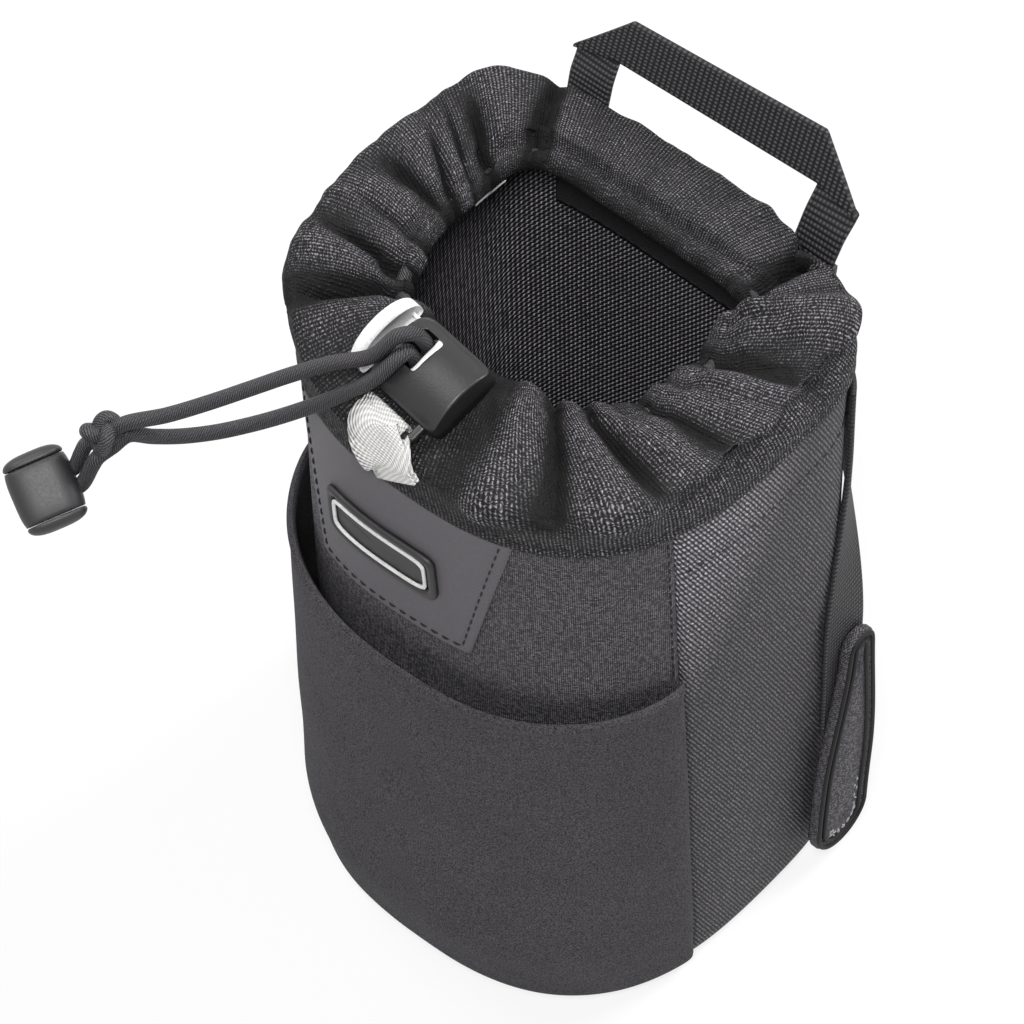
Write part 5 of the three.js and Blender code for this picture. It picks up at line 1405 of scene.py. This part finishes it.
def collar_base(angle):
    """The collar without folds, as rows of points from the hem over the top and around the
    drawcord channel. Under the lock it stays below the plane of the lock's back."""
    foot, inward, width = collar_lines(angle)
    press = pressed(angle)
    roll = 1 - smooth(np.degrees(angle_between(angle, math.pi / 2)), 32, 48)
    right = smooth(np.cos(angle - 0.2), 0.5, 0.9)
    bulge = COLLAR_BULGE * (1 - roll) * (1 - press) * mix(1, RIGHT_BULGE_SHARE, right)
    rows = []
    for rise, out in zip(RISE_SHARES, BULGE_SHARES):
        height = np.full_like(angle, mix(HEM_BOTTOM, COLLAR_TOP, rise))
        rows.append((-(COLLAR_OUT + bulge * out), height))
    for share, drop in zip(TOP_SHARES, DROP_SHARES):
        fall = (COLLAR_TOP - CHANNEL_HEIGHT - CHANNEL_RADIUS) * drop
        rows.append((width * share, np.full_like(angle, COLLAR_TOP - fall)))
    places = []
    for k, (across, height) in enumerate(rows):
        point = foot + inward * across[:, None]
        rise = (point[:, :2] - lock_back[:2]) @ lock_out[:2]
        seat = lock_back[2] - rise / lock_out[2] - CLEARANCE / lock_out[2]
        if k < len(RISE_SHARES):
            low = np.minimum((seat - HEM_BOTTOM) / (COLLAR_TOP - HEM_BOTTOM), 1)
            point[:, 2] = HEM_BOTTOM + (height - HEM_BOTTOM) * mix(1, low, press)
        else:
            point[:, 2] = height - press * np.maximum(height - seat, 0)
        places.append(point)
    for turn in CHANNEL_TURNS:
        across = width - CHANNEL_RADIUS + CHANNEL_RADIUS * math.cos(math.radians(turn))
        point = foot + inward * across[:, None]
        point[:, 2] = CHANNEL_HEIGHT + CHANNEL_RADIUS * math.sin(math.radians(turn))
        places.append(point)
    return spline(np.array(places), COLLAR_STEPS).transpose(1, 0, 2)


def collar_folds(angle, share):
    """Height of the folds at each angle and share of the way from the hem. Across a crease, t half
    widths from its middle, it is depth times a round shoulder exp(-(|t| - 2.4)^2) less a narrow slit
    exp(-|t / width|^1.3) and a broad dip exp(-|t|^1.4), and a ridge is exp(-t^2)."""
    foot, _, _ = collar_lines(angle)
    radius = mix(np.hypot(foot[:, 0], foot[:, 1])[:, None],
                 np.hypot(*mouth_point(angle)[:, :2].T)[:, None], share[None])
    fold = np.zeros(radius.shape)
    for at_lip, at_hem, depth, narrow, wide, start in CREASES:
        middle = np.radians(mix(at_hem, at_lip, share))[None]
        t = angle_between(angle[:, None], middle) * radius / mix(wide, narrow, share)[None]
        window = smooth(share, start, start + CREASE_FADE)[None]
        valley = (SHOULDER * np.exp(-(t - 2.4) ** 2) - SLIT * np.exp(-(t / SLIT_WIDTH) ** 1.3)
                  - (1 - SLIT) * np.exp(-t ** 1.4))
        fold += window * (depth * valley if depth > 0 else -depth * np.exp(-t ** 2))
    return fold


def lip_shift(angle):
    """How the drawcord channel moves with the folds: down and back from the mouth."""
    _, inward, _ = collar_lines(angle)
    depth = collar_folds(angle, np.ones(1))[:, :1] * (1 - pressed(angle)[:, None]) * LIP_FOLD
    return depth * (inward * LIP_BACK + np.array([0, 0, LIP_DOWN]))


def at_run(grid, run, distance):
    """Points of a grid's columns at a distance along each of them."""
    k = np.clip((run < distance).sum(1), 1, run.shape[1] - 1)
    row = np.arange(len(run))
    share = (distance - run[row, k - 1]) / np.maximum(run[row, k] - run[row, k - 1], NEAR_NOUGHT)
    return mix(grid[row, k - 1], grid[row, k], share[:, None])


def paint_fold_shading(piece, level, shaded):
    """Writes the collar's painted fold shading to a second UV map, which the cloth's colour reads: 0.5 +
    (level - blurred level) / reach, the height of each point over its neighbourhood around the collar,
    less a given painted shade. Valleys are painted dark and ridges light."""
    columns = len(level)
    turn = np.minimum(np.arange(columns), columns - np.arange(columns))
    soft = np.exp(-(turn / FOLD_BLUR) ** 2)
    weight = np.fft.fft(soft / soft.sum())[:, None]
    blurred = np.fft.ifft(np.fft.fft(level, axis=0) * weight, axis=0).real
    shade = np.clip(0.5 + (level - blurred) / FOLD_REACH - shaded, 0, 1).reshape(-1)
    corner = np.empty(len(piece.data.loops), dtype=np.int32)
    piece.data.loops.foreach_get("vertex_index", corner)
    value = np.concatenate([shade, shade])[corner]
    layer = piece.data.uv_layers.new(name="folds", do_init=False)
    layer.data.foreach_set("uv", np.stack([value, value], -1).ravel().astype(np.float32))


def collar_piece(finish):
    """Gathered collar: its base profile moved along its own normals by the folds and by soft uneven
    waves, with a flat hem below that two rows of stitches draw in."""
    angle = np.linspace(0, 2 * math.pi, COLLAR_COLUMNS, endpoint=False)
    base = collar_base(angle)
    steps = np.linalg.norm(np.diff(base, axis=1), axis=-1)
    run = np.concatenate([np.zeros((COLLAR_COLUMNS, 1)), np.cumsum(steps, 1)], 1)
    top_row = COLLAR_STEPS * (len(RISE_SHARES) + len(TOP_SHARES) + CHANNEL_TURNS.index(0))
    share = np.clip(run / run[:, top_row:top_row + 1], 0, 1).mean(0)
    around = np.roll(base, -1, 0) - np.roll(base, 1, 0)
    normal = unit(np.cross(around, np.gradient(base, axis=1)))
    press = pressed(angle)[:, None]
    _, inward, _ = collar_lines(angle)
    roll = 1 - smooth(np.degrees(np.abs(angle - math.pi / 2)), 30, 46)[:, None]
    turn = angle[:, None] / (2 * math.pi)
    waves = (0.0010 * lattice_noise(turn * 26, run * 70, 8, 26)
             + 0.0005 * lattice_noise(turn * 60, run * 150, 5, 60)
             + 0.00025 * lattice_noise(turn * 130, run * 330, 4, 130))
    creased = 0.0024 * (np.abs(lattice_noise(turn * 34 + run * 18, run * 34, 21, 34)) - 0.35)
    pinched = 0.0010 * np.abs(lattice_noise(turn * 78, run * 60, 23, 78))
    waves = waves + (creased + pinched) * smooth(share, 0.2, 0.5)[None]
    ruffles = 0.0012 * lattice_noise(turn * 74, run * 60, 11, 74) * smooth(share, 0.6, 0.95)[None]
    fade = smooth(run, 0.0035, 0.011)
    level = (collar_folds(angle, share) + (waves + ruffles) * mix(1, 0.35, roll)) * fade * (1 - press)
    beside = np.min([np.abs(np.degrees(angle) - side) for side in HANDLE_SIDES], axis=0)
    free = smooth(beside, *HANDLE_REACH)[:, None]
    level = np.where(level > 0, level * mix(0.05, 1, free), level) - HANDLE_PRESS * fade * (1 - free)
    lip = smooth(share, LIP_START, LIP_END)[None, :, None]
    lip_way = (inward * LIP_BACK + np.array([0, 0, LIP_DOWN]))[:, None] * LIP_FOLD
    move = level[..., None] * mix(normal, lip_way, lip)
    drawn = sum(np.exp(-((run - stitch) / 0.001) ** 2) for stitch in HEM_STITCHES)
    drawn = drawn * 0.0004 * (1 - 0.7 * press)
    outer = base + move - normal * drawn[..., None]
    inner = outer - normal * FABRIC_THICKNESS * 0.8
    piece = shell("gathered_collar", outer, inner, finish, around=True, replaces=["collar"],
                  slot="collar_fabric")
    # Painted shade: the collar's colour is darker under the turned-in lip, beside the cord lock and on
    # the left side
    lock_side = math.atan2(LOCK_FACE[1], LOCK_FACE[0])
    away = np.degrees(angle_between(angle, lock_side))[:, None]
    shaded = (LIP_SHADE * smooth(share, 0.78, 1)[None] + LOCK_SHADE * (1 - smooth(away, 28, 60))
              + LEFT_SHADE * smooth(-np.cos(angle), 0.3, 0.8)[:, None])
    paint_fold_shading(piece, level, shaded)
    lines = [(at_run(outer, run, stitch), at_run(normal, run, stitch)) for stitch in HEM_STITCHES]
    stitches("collar_stitching", lines, black_thread, length=0.0025)


def inner_strip(finish):
    """Velvet strip on the lining under the back roll."""
    angle = math.atan2(RIM_BACK, VELVET_HALF)
    a, h = np.meshgrid(np.linspace(angle, math.pi - angle + 0.16, 60),
                       np.linspace(VELVET_BOTTOM, VELVET_TOP, 14), indexing="ij")
    low, high = LINING_INNER + CLEARANCE, LINING_INNER + CLEARANCE + VELVET_THICKNESS
    shell("velvet_strip", wall(a, h, -low), wall(a, h, -high), finish,
          replaces=["inner_loop_strip"], slot="hook_and_loop")
    line = np.linspace(angle + 0.02, math.pi - angle + 0.14, 80)
    height = np.full_like(line, VELVET_STITCH_HEIGHT)
    row, inside = wall(line, height, -high), wall(line, height, -(high + 0.002))
    stitches("velvet_stitching", [(row, inside - row)], black_thread, length=0.0032, gap=0.0008)


def side_stitches():
    """Rows of stitches across the side panels and beside the front seams."""
    rows = []
    back = math.radians(BACK_SEAM_ANGLE)
    lift = 0.00005 - SIDE_STITCH_PULL
    for side in (1, -1):
        angle = np.linspace(seam_angle(SIDE_STITCH_HEIGHT) + 0.03, back - 0.03, 90)
        height = np.full_like(angle, SIDE_STITCH_HEIGHT)
        mirror = np.array([side, 1, 1])
        path = wall(angle, height, lift) * mirror
        rows.append((path, wall(angle, height, lift + 0.002) * mirror - path))
        height = np.linspace(POCKET_MOUTH_HEIGHT + 0.001, HEM_BOTTOM, 60)
        angle = seam_angle(height) - 0.03
        path = wall(angle, height, 0) * mirror
        rows.append((path, wall(angle, height, 0.002) * mirror - path))
    stitches("side_stitching", rows, black_thread)


def label_piece(finish):
    """Blank label under the collar's edge."""
    angle = np.radians(np.linspace(*LABEL_ANGLES, 24))
    foot, inward, width = collar_lines(angle)
    shift = lip_shift(angle)
    level = np.linspace(0, 1, 14)[None]

    def place(height):
        across = (width - 0.0015)[:, None] - LABEL_LENGTH * (1 - level)
        points = foot[:, None] + across[..., None] * inward[:, None] + shift[:, None]
        points[..., 2] = height + shift[:, None, 2]
        return points

    top = CHANNEL_HEIGHT - CHANNEL_RADIUS - CLEARANCE
    shell("blank_label", place(top), place(top - LABEL_THICKNESS), finish, replaces=["care_label"],
          slot="label")


def handle_pieces(finish):
    """Carry handle: two legs and a top strip of flat webbing, each corner folded over at a slant."""
    lean = math.radians(HANDLE_LEAN)
    axis_y, axis_z = HANDLE_AXIS

    def place(x, y, z):
        """Turned about the hinge: y' = y cos + z sin, z' = z cos - y sin."""
        x, y, z = np.broadcast_arrays(x, y, z)
        z = z * (1 + HANDLE_TILT * x)
        return np.stack([x * HANDLE_WIDEN + HANDLE_SHIFT,
                         axis_y + y * math.cos(lean) + z * math.sin(lean),
                         axis_z + z * math.cos(lean) - y * math.sin(lean)], -1)

    half = WEBBING_THICKNESS / 2
    outer, inner = HANDLE_HALF, HANDLE_HALF - HANDLE_WEBBING
    top_outer, top_inner = outer + HANDLE_SPLAY, inner + HANDLE_SPLAY
    top = HANDLE_LEG + HANDLE_WEBBING
    reach = top_outer - HANDLE_LEG_DRAW
    drop, blunt = HANDLE_DROP

    def strip(name, x, z, rise, pattern, **options):
        """A strip of webbing between its two faces, thinner towards the edges that v runs between."""
        v = np.broadcast_to(np.linspace(0, 1, z.shape[1])[None], z.shape)
        thin = mix(0.4, 1, rounded(np.minimum(v, 1 - v) * 16)) * half
        return shell(name, place(x, rise - thin, z), place(x, rise + thin, z), finish,
                     body="carry_handle", slot="webbing", pattern=pattern, **options)

    x, v = np.meshgrid(np.linspace(-reach, reach, 140), np.linspace(0, 1, 24), indexing="ij")
    low = HANDLE_LEG - drop * np.clip((np.abs(x) - top_inner) / (reach - top_inner), 0, 1)
    slope = (top - HANDLE_LEG + blunt) / HANDLE_CHAMFER
    high = np.minimum(top, HANDLE_LEG - blunt + (reach - np.abs(x)) * slope)
    z = mix(low, high, v)
    strip("handle_top", x, z, 0.0, np.stack([x, z], -1), replaces=["carry_handle"])
    for side_name, side in (("left", -1), ("right", 1)):
        v, u = np.meshgrid(np.linspace(0, 1, 40), np.linspace(0, 1, 24), indexing="ij")
        x = side * mix(mix(inner, outer - HANDLE_LEG_DRAW, u), mix(top_inner, reach, u), v)
        z = mix(-half / 2, HANDLE_LEG + drop - 2 * drop * u, v)
        strip(f"handle_leg_{side_name}", x, z, WEBBING_THICKNESS * smooth(v, 0.4, 1),
              np.stack([z, x], -1))
        x, level = np.meshgrid(np.linspace(inner, outer, 24) * side, np.linspace(0, 1, 20),
                               indexing="ij")
        height = mix(ANCHOR_BOTTOM, ANCHOR_TOP, level)
        depth = RIM_BACK * (1 - np.abs(x / (RIM_WIDTH / 2)) ** BACK_POWER) ** (1 / BACK_POWER)
        angle = np.arctan2(depth, x)

        def anchor(out):
            low = wall(angle, height, COLLAR_OUT + CLEARANCE + out) + np.array([HANDLE_SHIFT, 0, 0])
            high = np.stack([x + HANDLE_SHIFT, np.full_like(x, axis_y - half + out), height], -1)
            return mix(low, high, smooth(level, 0.2, 1)[..., None])

        shell(f"handle_tail_{side_name}", anchor(WEBBING_THICKNESS), anchor(0), finish,
              replaces=[f"handle_anchor_{side_name}"], slot="webbing")


def angle_along(angle, distance, height):
    """Angle reached after going a distance along the wall from an angle."""
    reached = np.full_like(distance, angle)
    small, pieces = 0.001, 8
    for _ in range(pieces):
        span = np.linalg.norm(wall(reached + small, height, 0) - wall(reached, height, 0), axis=-1)
        reached = reached + distance / pieces * small / span
    return reached


def strap_point(lateral, height, out):
    """Belt strap: the wall near its top, blending to the flat plane under the tab."""
    angle = angle_along(math.radians(STRAP_ANGLE), lateral, height)
    tucked = mix(0.0, 1.2, lateral / STRAP_WIDTH + 0.5)
    hang = CLEARANCE + STRAP_HANG * tucked * np.maximum(STRAP_TOP - height, 0)
    around = wall(angle, height, hang + out)
    flat = np.stack([STRAP_INNER_X + out + 0 * lateral, STRAP_MIDDLE + lateral, height], -1)
    return mix(flat, around, smooth(height, TAB_TOP, TAB_TOP + STRAP_FLATTEN)[..., None])


def tab_outline(margin, top, bottom, count=120):
    """Tongue outline as y and z pairs: half circles at both ends of a strip whose middle slants."""
    def half(height):
        return mix(TAB_WIDTH, TAB_TOP_WIDTH, smooth(height, TAB_TOP - TAB_TAPER, TAB_TOP)) / 2 - margin

    def middle(height):
        return TAB_MIDDLE - TAB_SLANT * (1 - smooth(height, TAB_BOTTOM, TAB_TOP))

    low_radius, high_radius = half(bottom), half(top)
    low, high = bottom + low_radius, top - high_radius
    n = count // 4
    turn = np.linspace(math.pi, 2 * math.pi, n, endpoint=False)
    parts = [np.stack([middle(low) + low_radius * np.cos(turn), low + low_radius * np.sin(turn)], -1)]
    rise = np.linspace(low, high, n, endpoint=False)
    parts.append(np.stack([middle(rise) + half(rise), rise], -1))
    turn = np.linspace(0, math.pi, n, endpoint=False)
    parts.append(np.stack([middle(high) + high_radius * np.cos(turn),
                           high + high_radius * np.sin(turn)], -1))
    fall = np.linspace(high, low, n, endpoint=False)
    parts.append(np.stack([middle(fall) - half(fall), fall], -1))
    return np.concatenate(parts)


def slab(name, outline, steps, flip, finish, **options):
    """A slab from an outline: rings drawn in towards its middle line at heights along X."""
    rings = []
    ends = [outline[:, 1].min() + TAB_SPINE_ENDS[0], outline[:, 1].max() - TAB_SPINE_ENDS[1]]
    height = np.clip(outline[:, 1], *ends)
    spine = np.stack([np.interp(height, ends, [TAB_MIDDLE - TAB_SLANT, TAB_MIDDLE]), height], -1)
    away = unit(outline - spine)
    reach = np.linalg.norm(outline - spine, axis=-1)
    for inset, x in steps:
        pairs = outline - away * np.minimum(inset, reach * 0.97)[:, None]
        rings.append(np.stack([np.full(len(outline), x) * flip, pairs[:, 0], pairs[:, 1]], -1))
    return lofted(name, np.array(rings), finish, **options)


def belt_strap_pieces(web, tab_finish, pile, hooks):
    """Both belt straps: webbing and its sewn end, the padded tab with stitches and piping, and the
    hook and loop faces. The left one mirrors the right one."""
    x0, t = TAB_FACE, TAB_THICKNESS
    steps = [(0.012, x0), (0.004, x0), (0.0022, x0 + 0.0001), (0.0006, x0)]
    steps += [(inset, x0 + t * rise) for inset, rise in TAB_SKIN]
    hook = TAB_FACE - CLEARANCE - HOOK_THICKNESS
    hook_steps = [(0.0094, hook), (0.0005, hook), (0, hook + 0.0003), (0, hook + 0.0012),
                  (0.0094, hook + 0.0012)]
    lateral = np.linspace(-1, 1, 30)
    edge = mix(0.35, 1, rounded((1 - np.abs(lateral)) * 14))[:, None]
    for side_name, flip in (("right", 1), ("left", -1)):
        body = f"belt_strap_{side_name}"
        mirror = np.array([flip, 1, 1])

        def on_tab(line, rise):
            return np.stack([np.full(len(line), (x0 + t * rise) * flip), line[:, 0], line[:, 1]], -1)

        for name, low, high, rows, part_body, node in (
            ("strap_web", STRAP_END, STRAP_TOP, 90, body, "belt_strap"),
            ("strap_tail", STRAP_TOP + CLEARANCE, STRAP_ANCHOR_TOP, 12, "pouch", "strap_anchor"),
        ):
            s, h = np.meshgrid(lateral * STRAP_WIDTH / 2, np.linspace(low, high, rows), indexing="ij")
            outer = strap_point(s, h, WEBBING_THICKNESS * mix(0.5, 1, edge)) * mirror
            inner = strap_point(s, h, WEBBING_THICKNESS * mix(0.5, 0, edge)) * mirror
            run = lengths_along(outer, 1)
            pattern = np.stack(np.broadcast_arrays(run[None, :], s[:, :1]), -1)
            shell(f"{name}_{side_name}", outer, inner, web, body=part_body, pattern=pattern,
                  replaces=[f"{node}_{side_name}"], slot="webbing")
        slab(f"tab_pad_{side_name}", tab_outline(0, TAB_TOP, TAB_BOTTOM), steps, flip, tab_finish,
             body=body, replaces=[f"belt_tab_{side_name}"], slot="tab_fabric")
        for name, margin, low, high, thread, long, zigzag, rise in (
            ("tab_stitching", 0.0027, 0.0, 1.0, black_thread, 0.0022, 0.0, 0.74),
            ("tab_marks", 0.0058, 0.03, 0.3, pale_thread, 0.0015, 0.0007, 0.97),
        ):
            line = tab_outline(margin, TAB_TOP - margin, TAB_BOTTOM + margin)
            line = line[int(low * len(line)):int(high * len(line))]
            line = line + zigzag * np.cos(math.pi * np.arange(len(line)))[:, None]
            place = on_tab(line, rise)
            stitches(f"{name}_{side_name}", [(place, np.broadcast_to([flip, 0.0, 0.0], place.shape))],
                     thread, body=body, length=long)
        for name, margin, rise in (("outer", 0.0011, 0.96), ("inner", 0.0036, 0.93)):
            path = on_tab(tab_outline(margin, TAB_TOP - margin, TAB_BOTTOM + margin, 200), rise)
            rings = carried(path, circle(PIPING_RADIUS, 10), np.array([1.0, 0, 0]))
            lofted(f"tab_piping_{name}_{side_name}", rings, black_thread, closed=True, body=body,
                   slot="tab_fabric")
        hook_line = tab_outline(HOOK_MARGIN, STRAP_END - CLEARANCE, TAB_BOTTOM + HOOK_MARGIN)
        slab(f"hook_face_{side_name}", hook_line, hook_steps, flip, hooks, body=body,
             replaces=[f"hook_patch_{side_name}"], slot="hook_and_loop")
        (x_low, x_high), (z_low, z_high) = LOOP_PATCH
        x, h = np.meshgrid(np.linspace(x_low, x_high, 24), np.linspace(z_low, z_high, 60),
                           indexing="ij")
        outer = face_point(x, h, CLEARANCE + LOOP_PATCH_THICKNESS, False) * mirror
        shell(f"loop_face_{side_name}", outer, face_point(x, h, CLEARANCE, False) * mirror, pile,
              replaces=[f"loop_patch_{side_name}"], slot="hook_and_loop")


lock_barrel()
lock_loop()
lock_button()
lock_spring()
tether_strip()
plain_side = side_fabric("back_twill", False)
padded_wall("front", 150, front_fabric(), "outer_fabric")
padded_wall("right", 70, side_fabric("side_twill", True), "side_fabric")
padded_wall("back", 110, plain_side, "side_fabric")
padded_wall("left", 70, plain_side, "side_fabric")
side_stitches()
base_piece(plain_side)
lining_pieces(lining_fabric())
pocket_piece(stretch_fabric())
patch_piece(patch_fabric())
badge_pieces()
collar_piece(collar_fabric())
velvet = pile_fabric("black_velvet", 0.022)
inner_strip(velvet)
label_piece(moulded("label_satin", 0.35, 0.6, tint=PLAIN_TINT))
webbing = webbing_fabric()
handle_pieces(webbing)
belt_strap_pieces(webbing, tab_fabric(), velvet, pile_fabric("black_hooks", 0.01))

drawcord_angle = np.radians(np.linspace(24, 336, 45)) + math.atan2(LOCK_FACE[1], LOCK_FACE[0])
foot, inward, width = collar_lines(drawcord_angle)
around = foot + inward * (width - CHANNEL_RADIUS)[:, None] + lip_shift(drawcord_angle)
around[:, 2] += CHANNEL_HEIGHT - RIM_HEIGHT
slot_y = BARREL_THICKNESS / 2
down = [slot_y - SLOT_GAP, slot_y / 2, 0, -slot_y / 2]
cord_path = np.concatenate([
    [lock_place(-STRAND_OFFSET, y, 0) for y in down], around,
    [lock_place(STRAND_OFFSET, y, 0) for y in down[::-1]]])
cord_piece("drawcord_in_channel", spline(cord_path, 6), replaces=["drawcord"], slot="cord")
